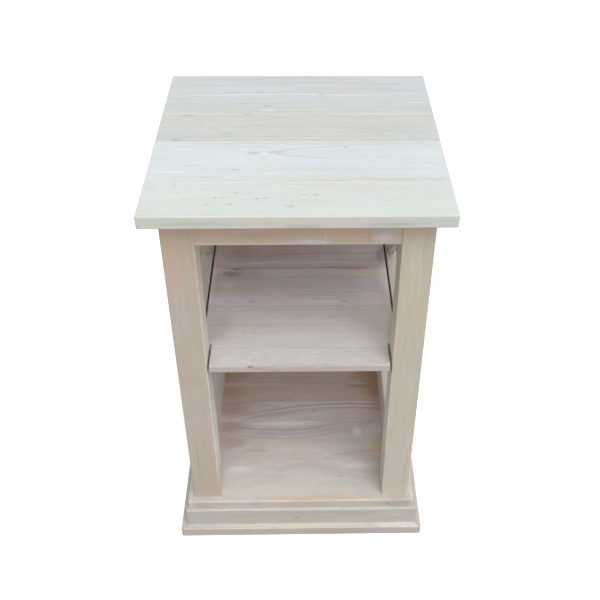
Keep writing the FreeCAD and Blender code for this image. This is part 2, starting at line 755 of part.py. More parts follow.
def make_screws():
    short = make_screw("short_screw_body", "short_screw")
    long = make_screw("long_screw_body", "long_screw")
    top, shelf, cleat, leg = [], [], [], []
    for side, sx in SIDES:
        x = "%d * cleat_x" % sx
        head_x = "%d * (cleat_x - cleat_side / 2)" % sx
        for end, sy in ENDS:
            top.append((x, "%d * top_screw_reach" % sy, "top_cleat_low", UPWARD))
            shelf.append((x, "%d * shelf_screw_reach" % sy, "shelf_cleat_low", UPWARD))
            leg.append(("%d * leg_x" % sx, "%d * leg_y" % sy, "plinth_top", UPWARD))
            for low in ("top_cleat_low", "shelf_cleat_low"):
                up = "%s + cleat_side / 2" % low
                cleat.append((head_x, "%d * cleat_screw_reach" % sy, up, TO_SIDE[sx]))
    copies("top_screws", short, top)
    copies("shelf_screws", short, shelf)
    copies("cleat_screws", short, cleat)
    copies("leg_screws", long, leg)
    base = [(x, y, "head_sink", UPWARD) for x, y in base_screw_spots()]
    copies("base_screws", short, base)
    copies("plinth_screws", long, [(x, y, "block_low", UPWARD) for x, y in BLOCK_SPOTS])


def check():
    """Stop if anything failed, is empty, or a cut removed nothing."""
    for thing in doc.Objects:
        if "Invalid" in thing.State or "Error" in thing.State:
            raise RuntimeError("failed: %s %s" % (thing.Name, thing.State))
    for before, feature in cuts:
        if before.Shape.Volume - feature.Shape.Volume < 1:
            raise RuntimeError("cut removed nothing: " + feature.Name)
    for part in parts:
        if part.Shape.isNull() or not part.Shape.isValid():
            raise RuntimeError("bad shape: " + part.Label)


make_top()
make_legs()
make_rails()
make_bars()
make_back_panel()
make_shelf()
make_floor_board()
make_plinth()
make_cleats()
make_dowels()
make_screws()
doc.recompute()
check()

for part in parts:
    part.Shape.exportStep("parts/%s.step" % part.Label)
print(len(parts), "parts")
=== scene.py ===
import math
import random
from collections import namedtuple

import bmesh
import bpy
from bpy.props import FloatProperty, FloatVectorProperty, PointerProperty
from bpy.types import Operator, Panel, PropertyGroup
from mathutils import Matrix, Vector


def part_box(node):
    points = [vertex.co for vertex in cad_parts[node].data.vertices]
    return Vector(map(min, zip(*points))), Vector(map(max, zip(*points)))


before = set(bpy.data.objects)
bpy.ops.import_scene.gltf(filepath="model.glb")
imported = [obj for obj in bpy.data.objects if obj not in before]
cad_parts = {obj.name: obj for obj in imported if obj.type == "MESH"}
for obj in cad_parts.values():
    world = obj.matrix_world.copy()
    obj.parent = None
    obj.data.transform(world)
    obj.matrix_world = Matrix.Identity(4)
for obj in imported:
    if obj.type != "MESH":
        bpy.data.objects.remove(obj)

bl_info = {
    "name": "End table with shelf",
    "version": (1, 0, 0),
    "blender": (4, 5, 0),
    "location": "View3D > Sidebar > End Table",
    "description": "Finishes an end table in bare, sanded hardwood and sets it on a studio floor",
    "category": "Object",
}

# Cuts, marks and grains give lengths in millimetres, and MM turns them into metres
MM = 0.001
# A joint line or an edge this far away, in metres, never shows
FAR = 1.0
# A mark that reaches this deep, in millimetres, shows on both faces of its board
DEEP = 10000

X_AXIS = (1, 0, 0)
Y_AXIS = (0, 1, 0)
Z_AXIS = (0, 0, 1)

# How a board was cut from its log: the pith beside and below the board's middle, how
# far it leans along the board, the width of a growth ring, how far the grain sways, how
# strongly the rings and the cloudy patches show, and a number that sets the board's figure
Cut = namedtuple("Cut", "across below lean ring sway figure cloud seed")

# A glued-up panel: the height of the marks in it that give none, and the cuts of its staves
# from the front, where the pith is measured from the panel's middle
Blank = namedtuple("Blank", "height cuts")

# A mark of another colour: most are in the wood, and some are painted light and shade. Its shape,
# its kind, which is a tone of the finish, its place on the table, its reach in the board's own
# directions and how strongly it shows
Mark = namedtuple("Mark", "shape kind place reach strength")

# A feature that noise draws: the size of its blobs along, across and through the board, how
# much finer detail they have, and the noise at which spots of it start to show and are full
Grain = namedtuple("Grain", "size detail low high", defaults=(0.0, 1.0))


def patch(kind, place, along, across, strength, deep=DEEP):
    """Soft oval patch, by its half sizes."""
    return Mark("patch", kind, place, (along, across, deep), strength)


def patches(place, along, across, deep=DEEP, **strengths):
    """Patches of several kinds at one place, laid on in the order given."""
    return [patch(kind, place, along, across, strength, deep)
            for kind, strength in strengths.items()]


def flecks(kind, place, along, across, strength):
    """Scatter of short flecks inside an oval, by its half sizes."""
    return Mark("flecks", kind, place, (along, across, DEEP), strength)


def bow(kind, place, along, rise, wide, strength):
    """Grain line that bows: level with its place at both ends, and off by rise between."""
    return Mark("bow", kind, place, (along, rise, wide), strength)


def tongue(kind, place, long, strength):
    """Pointed tongue of grain that opens along the board from its tip."""
    return Mark("tongue", kind, place, (long, 0, 0), strength)


# ---------------------------------------------------------------- sizes and colours

def tone(name, description, default):
    """Property for a colour."""
    return FloatVectorProperty(name=name, description=description, subtype="COLOR",
                               size=3, min=0.0, soft_max=1.0, default=default)


def wood_colour(name, default):
    """Property for the pale wood of one board or group of boards."""
    return tone(name, "Pale wood of this board", default)


def share(name, description, default):
    """Property for an amount from none to full."""
    return FloatProperty(name=name, description=description, subtype="FACTOR",
                         min=0.0, max=1.0, default=default)


def distance(name, description, default):
    """Property for a length in metres."""
    return FloatProperty(name=name, description=description, subtype="DISTANCE", unit="LENGTH",
                         min=0.0, precision=5, default=default)


def angle(name, description, default, **limits):
    """Property for an angle in radians."""
    return FloatProperty(name=name, description=description, subtype="ANGLE",
                         unit="ROTATION", default=default, **limits)


class BoardColours(PropertyGroup):
    """Pale wood of each board, which differs as each came from its own log, and in places as
    painted light and shade.
    """

    top_1: wood_colour("Front stave of the top", (0.69, 0.74, 0.70))
    top_2: wood_colour("Second stave of the top", (0.69, 0.76, 0.76))
    top_3: wood_colour("Third stave of the top", (0.62, 0.64, 0.61))
    top_4: wood_colour("Fourth stave of the top", (0.61, 0.64, 0.61))
    top_5: wood_colour("Back stave of the top", (0.61, 0.66, 0.66))
    # The left legs are darker than the right ones partly as painted shade, where the light falls
    # off towards the left
    legs_left: wood_colour("Left legs", (0.57, 0.50, 0.42))
    legs_right: wood_colour("Right legs", (0.62, 0.57, 0.47))
    rails: wood_colour("Front and back rails", (0.62, 0.50, 0.39))
    side_rails: wood_colour("Side rails", (0.66, 0.62, 0.57))
    bars: wood_colour("Crossed bars", (0.56, 0.48, 0.41))
    # The shelf's staves behind the front one are paler than their wood, partly as painted light
    # that lifts the inside of the table
    shelf_1: wood_colour("Front stave of the shelf", (0.65, 0.64, 0.63))
    shelf_2: wood_colour("Second stave of the shelf", (0.71, 0.67, 0.66))
    shelf_3: wood_colour("Third stave of the shelf", (0.81, 0.73, 0.75))
    shelf_4: wood_colour("Back stave of the shelf", (0.70, 0.61, 0.64))
    # The floor board's staves behind the front one are paler than their wood, partly as painted
    # light that lifts the inside of the table
    floor_1: wood_colour("Front stave of the floor board", (0.63, 0.61, 0.57))
    floor_2: wood_colour("Second stave of the floor board", (0.67, 0.61, 0.59))
    floor_3: wood_colour("Third stave of the floor board", (0.79, 0.70, 0.69))
    floor_4: wood_colour("Fourth stave of the floor board", (0.74, 0.63, 0.58))
    floor_5: wood_colour("Back stave of the floor board", (0.73, 0.63, 0.58))
    plinth: wood_colour("Plinth", (0.54, 0.52, 0.47))
    base: wood_colour("Base moulding", (0.55, 0.50, 0.47))
    back_panel: wood_colour("Back panel", (0.66, 0.58, 0.53))
    inner: wood_colour("Cleats and glue blocks", (0.64, 0.55, 0.44))
    dowels: wood_colour("Dowels and pins", (0.68, 0.58, 0.44))


class WoodFinish(PropertyGroup):
    """Finish that every board shares: bare wood, sanded smooth."""

    # Besides the wood's own colours, some marks use the knot, brown, orange, red, pale and cream
    # tones as painted shade, shadow and light
    late_wood: tone("Late wood", "Dark line that closes a growth ring", (0.36, 0.28, 0.24))
    pore: tone("Pores", "Open pores, which run along the grain", (0.30, 0.23, 0.18))
    glue_line: tone("Glue line", "Joint between two boards", (0.30, 0.22, 0.18))
    knot_and_shade: tone("Knot", "Pin knots and specks", (0.22, 0.17, 0.13))
    red: tone("Red streak", "Reddish streaks along the grain", (0.42, 0.30, 0.27))
    orange: tone("Orange streak", "Warm streaks and patches", (0.66, 0.46, 0.30))
    brown: tone("Brown stain", "Brown patches", (0.34, 0.25, 0.19))
    lilac: tone("Lilac cast", "Cool patches with a touch of violet", (0.57, 0.51, 0.54))
    grey: tone("Grey cast", "Patches gone grey-green", (0.50, 0.52, 0.46))
    cream: tone("Cream cast", "Yellowish patches", (0.74, 0.68, 0.54))
    pale: tone("Pale streak", "Pale streaks along the grain", (0.84, 0.85, 0.82))
    pore_strength: share("Pore strength", "How dark the pores are", 0.16)
    fibre_strength: share("Fibre strength", "How strongly the fine fibres show", 0.12)
    # The paler band along the edges is sanded wear, and partly a painted highlight on the arris
    edge_strength: share("Edge wear", "How much paler the sanded edges are", 0.12)
    edge_width: distance("Edge width", "Width of the paler band along an edge", 0.0014)
    joint_width: distance("Joint width", "Width of a glue line", 0.0007)
    joint_strength: share("Joint strength", "How dark a glue line is", 0.55)
    mitre_strength: share("Mitre strength", "How dark the line of a mitre is", 0.60)
    grain_depth: distance("Grain depth", "Depth of the grain that can be felt", 0.00012)
    relief: share("Relief", "How much the felt grain shows in the light", 0.60)
    roughness: share("Roughness", "Roughness of the sanded face", 0.62)
    gloss: share("Gloss", "How much light glances off the sanded face", 0.35)
    end_shade: share("End grain shade", "How much darker the end grain is", 0.26)


class ScrewFinish(PropertyGroup):
    """Finish of the screws: steel with a thin zinc coat."""

    colour: tone("Zinc", "Zinc plating", (0.56, 0.57, 0.58))
    roughness: share("Roughness", "Roughness of the plating", 0.34)


class StageSettings(PropertyGroup):
    """Camera, floor and lights."""

    lens: FloatProperty(name="Lens", description="Focal length", subtype="DISTANCE_CAMERA",
                        unit="CAMERA", min=1.0, default=50.27)
    distance: distance("Camera distance", "Camera in front of the table's middle", 1.06428)
    height: distance("Camera height", "Camera above the floor", 1.24630)
    side: distance("Camera side", "Camera to the right of the table's middle", 0.00763)
    down: angle("Tilt down", "Camera below the level", 0.6669)
    turn: angle("Turn right", "Camera turned to the right", 0.0258)
    roll: angle("Roll", "Camera turned about its own line of sight", 0.0098)
    shift_across: FloatProperty(name="Shift across", description="Picture moved sideways",
                                default=-0.0356)
    shift_up: FloatProperty(name="Shift up", description="Picture moved upwards",
                            default=-0.0419)
    floor: tone("Floor", "Floor and backdrop", (0.90, 0.90, 0.90))
    floor_half: distance("Floor half", "Half the width of the floor", 15.0)
    floor_glow: FloatProperty(name="Floor glow", description="Light that the floor gives off",
                              min=0.0, default=0.47)
    walls: tone("Walls", "Light that comes from low down all round", (1.15, 1.15, 1.17))
    ceiling: tone("Ceiling", "Light that comes from overhead", (0.45, 0.45, 0.46))
    ground: tone("Ground", "Light that comes up from below", (0.25, 0.25, 0.25))
    right_light: share("Light from the right", "How much brighter the right-hand walls are", 0.35)
    key_light: FloatProperty(name="Key light", description="Soft light from above the front",
                             min=0.0, default=1.56)
    key_spread: angle("Key light spread", "How soft the key light is", 0.6, min=0.0)
    key_from: FloatVectorProperty(name="Key light from", description="Towards the key light",
                                  subtype="DIRECTION", size=3, default=(0.13, -0.43, 0.89))


class EndTableSettings(PropertyGroup):
    """All settings of the end table."""

    colours: PointerProperty(type=BoardColours)
    wood: PointerProperty(type=WoodFinish)
    screws: PointerProperty(type=ScrewFinish)
    stage: PointerProperty(type=StageSettings)


def settings():
    return bpy.context.scene.end_table


# ---------------------------------------------------------------- shader building

class Value:
    """Number, vector or colour that a shader works out. Sums of numbers add their own nodes."""

    def __init__(self, shader, socket):
        self.shader = shader
        self.socket = socket

    def __add__(self, other):
        return self.shader.maths("ADD", self, other)

    def __sub__(self, other):
        return self.shader.maths("SUBTRACT", self, other)

    def __rsub__(self, other):
        return self.shader.maths("SUBTRACT", other, self)

    def __mul__(self, other):
        return self.shader.maths("MULTIPLY", self, other)

    def __truediv__(self, other):
        return self.shader.maths("DIVIDE", self, other)

    def __pow__(self, other):
        return self.shader.maths("POWER", self, other)

    def __abs__(self):
        return self.shader.maths("ABSOLUTE", self)


class Shader:
    """Adds nodes to a shader tree and wires them up."""

    def __init__(self, tree):
        self.tree = tree

    def add(self, kind, **options):
        """Add a node and set its options."""
        made = self.tree.nodes.new("ShaderNode" + kind)
        for option, value in options.items():
            setattr(made, option, value)
        return made

    def feed(self, socket, value):
        """Wire a socket to a value that the shader works out, or set it to a constant."""
        if isinstance(value, Value):
            self.tree.links.new(value.socket, socket)
        elif value is not None:
            socket.default_value = value

    def fill(self, made, inputs):
        """Feed a node's inputs, which are given by name or by number."""
        for socket, value in inputs.items():
            self.feed(made.inputs[socket], value)

    def value(self, kind, inputs, output=0, **options):
        """Add a node, fill it and return one of its outputs."""
        made = self.add(kind, **options)
        self.fill(made, inputs)
        return Value(self, made.outputs[output])

    def group(self, tree, **inputs):
        """Add a node group and return its outputs by name."""
        made = self.add("Group", node_tree=tree)
        self.fill(made, inputs)
        return {output.name: Value(self, output) for output in made.outputs}

    def coordinates(self, kind):
        return self.value("TexCoord", {}, kind)

    def maths(self, operation, first, second=None, clamp=False):
        return self.value("Math", {0: first, 1: second}, operation=operation, use_clamp=clamp)

    def vectors(self, operation, first, second=None):
        output = "Value" if operation == "LENGTH" else "Vector"
        return self.value("VectorMath", {0: first, 1: second}, output, operation=operation)

    def split(self, vector):
        """The three numbers of a vector."""
        made = self.add("SeparateXYZ")
        self.feed(made.inputs[0], vector)
        return [Value(self, output) for output in made.outputs]

    def join(self, first, second, third):
        """Vector of three numbers."""
        return self.value("CombineXYZ", {0: first, 1: second, 2: third})

    def step(self, value, low, high):
        """Smooth step from 0 at low to 1 at high, or from 1 to 0 where low is the larger."""
        inputs = {"Value": value, "From Min": low, "From Max": high}
        return self.value("MapRange", inputs, interpolation_type="SMOOTHSTEP")

    def noise(self, place, grain):
        """Noise from 0 to 1, with blobs of the grain's size."""
        scaled = self.vectors("MULTIPLY", place, [1.0 / (size * MM) for size in grain.size])
        return self.value("TexNoise", {"Vector": scaled, "Scale": 1.0, "Detail": grain.detail})

    def swing(self, place, grain):
        """Noise that swings to both sides of 0."""
        return self.noise(place, grain) - 0.5

    def spots(self, place, grain):
        """Spots of the grain: 1 inside them and 0 between them."""
        return self.step(self.noise(place, grain), grain.low, grain.high)

    def grey(self, value):
        """Grey that is as light as the value."""
        return self.value("CombineColor", {0: value, 1: value, 2: value})

    def blend(self, amount, first, second, mode="MIX"):
        """First colour with the second laid over it by that amount."""
        made = self.add("Mix", data_type="RGBA", blend_type=mode, clamp_factor=True)
        sockets = {socket.identifier: socket for socket in made.inputs}
        self.feed(sockets["Factor_Float"], amount)
        self.feed(sockets["A_Color"], first)
        self.feed(sockets["B_Color"], second)
        return Value(self, next(s for s in made.outputs if s.identifier == "Result_Color"))

    def tint(self, colour, other):
        """One colour times another."""
        return self.blend(1.0, colour, other, "MULTIPLY")


def new_group(name, inputs, outputs):
    """Empty node group; returns its shader, the values that come in and the node for results."""
    tree = bpy.data.node_groups.new(name, "ShaderNodeTree")
    for side, sockets in (("INPUT", inputs), ("OUTPUT", outputs)):
        for label, kind in sockets.items():
            tree.interface.new_socket(label, in_out=side, socket_type="NodeSocket" + kind)
    shader = Shader(tree)
    arriving = tree.nodes.new("NodeGroupInput").outputs
    given = {label: Value(shader, arriving[label]) for label in inputs}
    return shader, given, tree.nodes.new("NodeGroupOutput")


def new_material(name):
    """Empty material; returns it, its shader and the node for its surface."""
    material = bpy.data.materials.new(name)
    material.use_nodes = True
    return material, Shader(material.node_tree), material.node_tree.nodes["Principled BSDF"]


def rgba(colour):
    return (*colour, 1.0)


# ---------------------------------------------------------------- bare wood

SLOW_SWAY = Grain((105, 60, 60), 1.5)
QUICK_SWAY = Grain((48, 26, 26), 1.0)
RING_WAVES = Grain((46, 9, 9), 2.0)
RING_STRETCHES = Grain((90, 16, 16), 1.0, 0.30, 0.72)
FIBRES = Grain((60, 1.3, 1.3), 3.0)
STREAKS = Grain((150, 4.5, 4.5), 3.0)
PORES = Grain((11, 0.55, 0.55), 1.0, 0.60, 0.74)
CLOUDS = Grain((110, 26, 26), 3.0)
COOL_PARTS = Grain((150, 40, 40), 2.0, 0.34, 0.66)

WOOD_IOR = 1.45
# What the warmer and the cooler parts of a board and its sawn ends do to its colour
WARM = (1.025, 0.99, 0.95)
COOL = (0.98, 1.0, 1.025)
END_TINT = (1.0, 0.96, 0.90)


def swaying_grain(shader, given):
    """How far the grain sways from side to side, and the place in the wood that follows it."""
    seed_across = 0.73      # the seed moves the noise along the board, and less so across
    seed_through = 0.31     # and through it
    quick_share = 0.22      # quick sway, beside the slow one
    seed = given["Seed"]
    own = shader.join(seed, seed * seed_across, seed * seed_through)
    spot = shader.vectors("ADD", given["Place"], own)
    quick = shader.swing(spot, QUICK_SWAY) * quick_share
    sway = (shader.swing(spot, SLOW_SWAY) + quick) * given["Sway"]
    return sway, shader.vectors("ADD", spot, shader.join(0.0, sway, sway))


def growth_rings(shader, given, sway, flow):
    """Line of late wood that closes each ring, and the wide bands of good and bad years."""
    stray = 2.0 * MM        # how far a ring strays from its round
    darkening = 3.0         # how late the wood turns dark: power of the way through a ring
    darkest = 0.90          # way through a ring at which it starts to break off
    year_pace = 0.45        # how fast good and bad years follow each other
    along, across, through = shader.split(given["Place"])
    beside = across - given["Across"] + sway
    above = through + given["Below"] + along * given["Lean"]
    radius = shader.maths("SQRT", beside * beside + above * above)
    rings = (radius + shader.swing(flow, RING_WAVES) * stray) / given["Ring"]

    within = shader.maths("FRACT", rings)
    number = shader.maths("FLOOR", rings) + given["Seed"]
    lot = shader.value("TexWhiteNoise", {"W": number}, "Value", noise_dimensions="1D")
    line = within ** darkening * shader.step(within, 1.0, darkest)
    line = line * lot * shader.spots(flow, RING_STRETCHES)
    year = rings * year_pace + given["Seed"]
    return line, shader.value("TexNoise", {"W": year}, noise_dimensions="1D") - 0.5


def make_bare_wood():
    """Sanded hardwood: growth rings round a leaning pith, fibres and pores along it."""
    line_share, streak_share = 0.8, 0.6     # ring lines and streaks, beside the bands
    late_throughout = 0.05                  # late wood that is everywhere
    early_share = 0.6                       # how far early wood goes towards pale
    hue_share = 4.0                         # how fast hues grow with the cloudy patches
    finish = settings().wood
    shader, given, result = new_group(
        "bare_wood",
        {"Place": "Vector", "Facing": "Vector", "Pale": "Color", "Across": "Float",
         "Below": "Float", "Lean": "Float", "Ring": "Float", "Sway": "Float",
         "Figure": "Float", "Cloud": "Float", "Seed": "Float"},
        {"Colour": "Color", "Roughness": "Float", "Height": "Float"})
    sway, flow = swaying_grain(shader, given)
    line, band = growth_rings(shader, given, sway, flow)
    fibre = shader.noise(flow, FIBRES)
    fine = fibre - 0.5
    pores = shader.spots(flow, PORES)

    # Late wood is dark and early wood pale, and the pores are darker still
    figure = line * line_share + band + shader.swing(flow, STREAKS) * streak_share
    late = figure * given["Figure"] + fine * (finish.fibre_strength * 2.0) + late_throughout
    dark = shader.maths("MAXIMUM", late, 0.0)
    early = shader.maths("MINIMUM", late, 0.0) * -early_share
    colour = shader.blend(dark, given["Pale"], rgba(finish.late_wood))
    colour = shader.blend(early, colour, rgba(finish.pale))
    colour = shader.blend(pores * finish.pore_strength, colour, rgba(finish.pore))

    # Cloudy patches change the shade, and broader ones the hue
    shade = shader.swing(flow, CLOUDS) * given["Cloud"] + 1.0
    colour = shader.tint(colour, shader.grey(shade))
    hue = shader.blend(shader.spots(flow, COOL_PARTS), rgba(WARM), rgba(COOL))
    mixed = shader.maths("MULTIPLY", given["Cloud"], hue_share, clamp=True)
    colour = shader.blend(mixed, colour, shader.tint(colour, hue))

    # The sawn ends drink in more light and show the pores as dots
    end_starts, end_full = 0.55, 0.85       # how far the surface faces along the board
    dot_strength = 0.45
    end = shader.step(abs(shader.split(given["Facing"])[0]), end_starts, end_full)
    kept = [(1.0 - finish.end_shade) * channel for channel in END_TINT]
    shaded = shader.tint(colour, rgba(kept))
    shaded = shader.blend(pores * dot_strength, shaded, rgba(finish.pore))
    colour = shader.blend(end, colour, shaded)

    # Fibres, pores and sawn ends are rougher, and fibres stand up between pores and lines
    fibre_rough, pore_rough, end_rough = 0.22, 0.12, 0.12
    fibre_height, line_depth = 0.8, 0.5
    rough = fine * fibre_rough + finish.roughness + pores * pore_rough
    rough = shader.maths("ADD", rough, end * end_rough, clamp=True)
    height = fibre * fibre_height - pores - line * line_depth
    shader.fill(result, {"Colour": colour, "Roughness": rough, "Height": height})
    return shader.tree


# ---------------------------------------------------------------- marks, joints and edges

PATCH_LOBES = Grain((16, 3.5, 3.5), 2.0)
PATCH_FRAYS = Grain((3.6, 1.6, 1.6), 1.0)
FLECKS = Grain((15, 2.2, 40), 2.0, 0.48, 0.66)
BOW_WAVES = Grain((45, 60, 60), 2.0)
TONGUE_WAVES = Grain((60, 25, 60), 2.0)
GLUE_STRETCHES = Grain((35, 400, 400), 2.0, 0.36, 0.64)
WORN_AND_LIT_PARTS = Grain((30, 30, 30), 2.0, 0.25, 0.70)


def away_from(shader, given):
    """Way from a mark's place to the surface."""
    return shader.vectors("SUBTRACT", given["Place"], given["At"])


def way_out(shader, given):
    """How far out in a mark's oval the surface is: 0 in its middle and 1 on its rim."""
    scaled = shader.vectors("DIVIDE", away_from(shader, given), given["Reach"])
    return shader.vectors("LENGTH", scaled)


def patch_shape(shader, given):
    """Oval patch with a soft, uneven rim."""
    lobe_depth, fray_depth = 0.9, 0.7
    faded, full = 1.10, 0.20            # how far out it has faded and is still full
    lobes = shader.swing(given["Place"], PATCH_LOBES) * lobe_depth
    frays = shader.swing(given["Place"], PATCH_FRAYS) * fray_depth
    return shader.step(way_out(shader, given) + (lobes + frays), faded, full)


def fleck_shape(shader, given):
    """Short flecks along the grain, scattered over an oval."""
    full = 0.5                          # how far out the flecks are all there
    inside = shader.step(way_out(shader, given), 1.0, full)
    return inside * shader.spots(away_from(shader, given), FLECKS)


def bow_shape(shader, given):
    """Grain line along a parabola, which fades towards its ends."""
    waver = 7 * MM                      # how far the line strays from the parabola
    core = 0.1                          # share of the line's width that is full
    lasting = 0.55                      # share of its length at which it starts to fade
    along, across = shader.split(away_from(shader, given))[:2]
    long, rise, wide = shader.split(given["Reach"])
    part = along / long
    off = across - rise * (1.0 - part * part)
    off = off + shader.swing(given["Place"], BOW_WAVES) * waver
    line = shader.step(abs(off) / wide, 1.0, core)
    return line * shader.step(abs(part), 1.0, lasting)


def tongue_shape(shader, given):
    """Cathedral tongue: a late-wood line on both sides, filled near its tip."""
    # Lengths are in millimetres
    flare = 0.62                        # how fast the sides part: power of the way past the tip
    waver = 3.0                         # how far the sides stray
    faded, full = 2.3, 0.2              # how far from a side its line has faded or is full
    outside, well_inside = -0.5, 1.0    # where the filling starts and is full
    filled_to, hollow_from = 14.0, 34.0     # how far past the tip
    filling = 0.75                      # strength of the filling
    far_strength = 0.40                 # strength of the lines at the far end
    along, across = shader.split(away_from(shader, given))[:2]
    past = shader.maths("MAXIMUM", along / MM, 0.0)
    inside = past ** flare - abs(across / MM)
    inside = inside + shader.swing(given["Place"], TONGUE_WAVES) * waver
    line = shader.step(abs(inside), faded, full)
    filled = shader.step(inside, outside, well_inside)
    filled = filled * shader.step(past, hollow_from, filled_to)
    shape = shader.maths("MAXIMUM", line, filled * filling)
    long = shader.split(given["Reach"])[0] / MM
    fade = shader.maths("MAXIMUM", shader.step(past, long, 0.0), far_strength)
    return shape * fade * shader.step(along, 0.0, 2 * MM)


def glue_line_shape(shader, given):
    """Thin, broken line where a board meets the next one."""
    core = 0.2                          # share of the line's width that is full
    wide = settings().wood.joint_width
    across = shader.split(given["Place"])[1]
    near = shader.maths("MINIMUM", abs(across - given["Low"]), abs(across - given["High"]))
    return shader.step(near, wide, wide * core) * shader.spots(given["Place"], GLUE_STRETCHES)


def worn_and_lit_edge_shape(shader, given):
    """Band along the edges of a squared board, where two of its faces are near at once: sanded
    wear, and partly a painted highlight on the arris.
    """
    inside = shader.vectors("SUBTRACT", given["Half"], shader.vectors("ABSOLUTE", given["Place"]))
    first, second, third = shader.split(inside)
    least = shader.maths("MINIMUM", first, second)
    most = shader.maths("MAXIMUM", first, second)
    middle = shader.maths("MAXIMUM", least, shader.maths("MINIMUM", most, third))
    band = shader.step(middle, settings().wood.edge_width, 0.0)
    return band * shader.spots(given["Place"], WORN_AND_LIT_PARTS)


def mitre_line_shape(shader, given):
    """Thin line at the mitred corners of a square frame of boards."""
    core = 0.3                          # share of the line's width that is full
    wide = settings().wood.joint_width
    x, y = shader.split(shader.vectors("ABSOLUTE", given["Where"]))[:2]
    return shader.step(abs(x - y), wide, wide * core)


MARK_INPUTS = {"Place": "Vector", "At": "Vector", "Reach": "Vector"}

# What each shape needs to know, and the function that draws it
SHAPES = {
    "patch": (MARK_INPUTS, patch_shape),
    "flecks": (MARK_INPUTS, fleck_shape),
    "bow": (MARK_INPUTS, bow_shape),
    "tongue": (MARK_INPUTS, tongue_shape),
    "glue_line": ({"Place": "Vector", "Low": "Float", "High": "Float"}, glue_line_shape),
    "worn_and_lit_edge": ({"Place": "Vector", "Half": "Vector"}, worn_and_lit_edge_shape),
    "mitre_line": ({"Where": "Vector"}, mitre_line_shape),
}


def make_shape(name):
    """Node group that says how strongly a shape shows at each place."""
    inputs, draw = SHAPES[name]
    shader, given, result = new_group(name, inputs, {"Amount": "Float"})
    shader.feed(result.inputs["Amount"], draw(shader, given))
    return shader.tree


def lay_on(shader, painted, colour, shape, strength, within=None, **inputs):
    """Lay a colour over the wood where a shape shows, and only as far as within lets it."""
    tree = bpy.data.node_groups.get(shape) or make_shape(shape)
    amount = shader.group(tree, **inputs)["Amount"] * strength
    if within is not None:
        amount = amount * within
    return shader.blend(amount, painted, rgba(colour))


# ---------------------------------------------------------------- boards

# The marks of a glued-up panel fade over this last stretch before its sawn ends
MARK_MARGIN = 11 * MM


def box_around(names):
    """Box round several nodes."""
    boxes = [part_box(name) for name in names]
    low = Vector([min(box[0][axis] for box in boxes) for axis in range(3)])
    high = Vector([max(box[1][axis] for box in boxes) for axis in range(3)])
    return low, high


def board_axes(along, across):
    """Turn from the table's axes to a board's own: along the grain, across and through."""
    first = Vector(along).normalized()
    second = Vector(across).normalized()
    return Matrix((first, second, first.cross(second)))


def chance_cut(name, figure=0.40):
    """A cut that suits any board, always the same for one name."""
    lot = random.Random(name)
    return Cut(across=lot.uniform(-30, 30), below=lot.uniform(25, 90),
               lean=lot.uniform(-0.03, 0.03), ring=lot.uniform(3.5, 6.5), sway=14,
               figure=figure, cloud=0.16, seed=lot.uniform(0.0, 40.0))


def paint(name, material):
    """Give a node of the frame its material."""
    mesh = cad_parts[name].data
    mesh.materials.clear()
    mesh.materials.append(material)


def dress(name, colour, along, across, cut=None, staves=None, height=0, mitred=False,
          half=None):
    """Give one board its wood. Its staves are all boards of the glued-up panel it is part of."""
    cut = cut or chance_cut(name)
    finish = settings().wood
    turn = board_axes(along, across)
    low, high = box_around(staves or [name])
    centre = (low + high) / 2
    if half is None:
        half = Vector([abs(size) for size in turn @ (high - low)]) / 2
    material, shader, surface = new_material(name + "_wood")

    where = shader.coordinates("Object")
    rotation = turn.to_euler("XYZ")
    place = shader.value("Mapping", {"Vector": where, "Rotation": rotation,
                                     "Location": -(turn @ centre)})
    facing = shader.value("Mapping", {"Vector": shader.coordinates("Normal"),
                                      "Rotation": rotation}, vector_type="NORMAL")
    wood = shader.group(bpy.data.node_groups.get("bare_wood") or make_bare_wood(),
                        Place=place, Facing=facing, Pale=rgba(colour),
                        Across=cut.across * MM, Below=cut.below * MM, Lean=cut.lean,
                        Ring=cut.ring * MM, Sway=cut.sway * MM, Figure=cut.figure,
                        Cloud=cut.cloud, Seed=cut.seed)
    painted = wood["Colour"]

    inland = None
    if staves:
        from_middle = abs(shader.split(place)[0])
        inland = shader.step(from_middle, half.x, half.x - MARK_MARGIN)
    # A mark that gives no height lies at the panel's
    for mark in MARKS.get(name, ()):
        spot = Vector((*mark.place, height)[:3]) * MM
        painted = lay_on(shader, painted, getattr(finish, mark.kind), mark.shape,
                         mark.strength, inland, Place=place, At=turn @ (spot - centre),
                         Reach=[size * MM for size in mark.reach])

    # A glue line runs where the board ends inside its panel, over a millimetre from the rim
    ends = sorted((turn @ (corner - centre)).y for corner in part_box(name))
    low_joint, high_joint = [end if abs(end) < half.y - MM else FAR for end in ends]
    painted = lay_on(shader, painted, finish.glue_line, "glue_line", finish.joint_strength,
                     Place=place, Low=low_joint, High=high_joint)
    if mitred:
        painted = lay_on(shader, painted, finish.glue_line, "mitre_line",
                         finish.mitre_strength, Where=where)
    # Paler band along the edges: sanded wear, and partly a painted highlight on the arris
    painted = lay_on(shader, painted, finish.pale, "worn_and_lit_edge", finish.edge_strength,
                     Place=place, Half=half)

    relief = shader.value("Bump", {"Strength": finish.relief, "Distance": finish.grain_depth,
                                   "Height": wood["Height"]})
    shader.fill(surface, {"Base Color": painted, "Roughness": wood["Roughness"],
                          "Normal": relief, "IOR": WOOD_IOR,
                          "Specular IOR Level": finish.gloss})
    paint(name, material)


def dress_staves(board, blank):
    """Give each stave of a glued-up panel its own wood, from the front backwards."""
    names = ["%s_stave_%d" % (board, index + 1) for index in range(len(blank.cuts))]
    for index, (name, cut) in enumerate(zip(names, blank.cuts)):
        colour = getattr(settings().colours, "%s_%d" % (board, index + 1))
        dress(name, colour, X_AXIS, Y_AXIS, cut, names, blank.height)


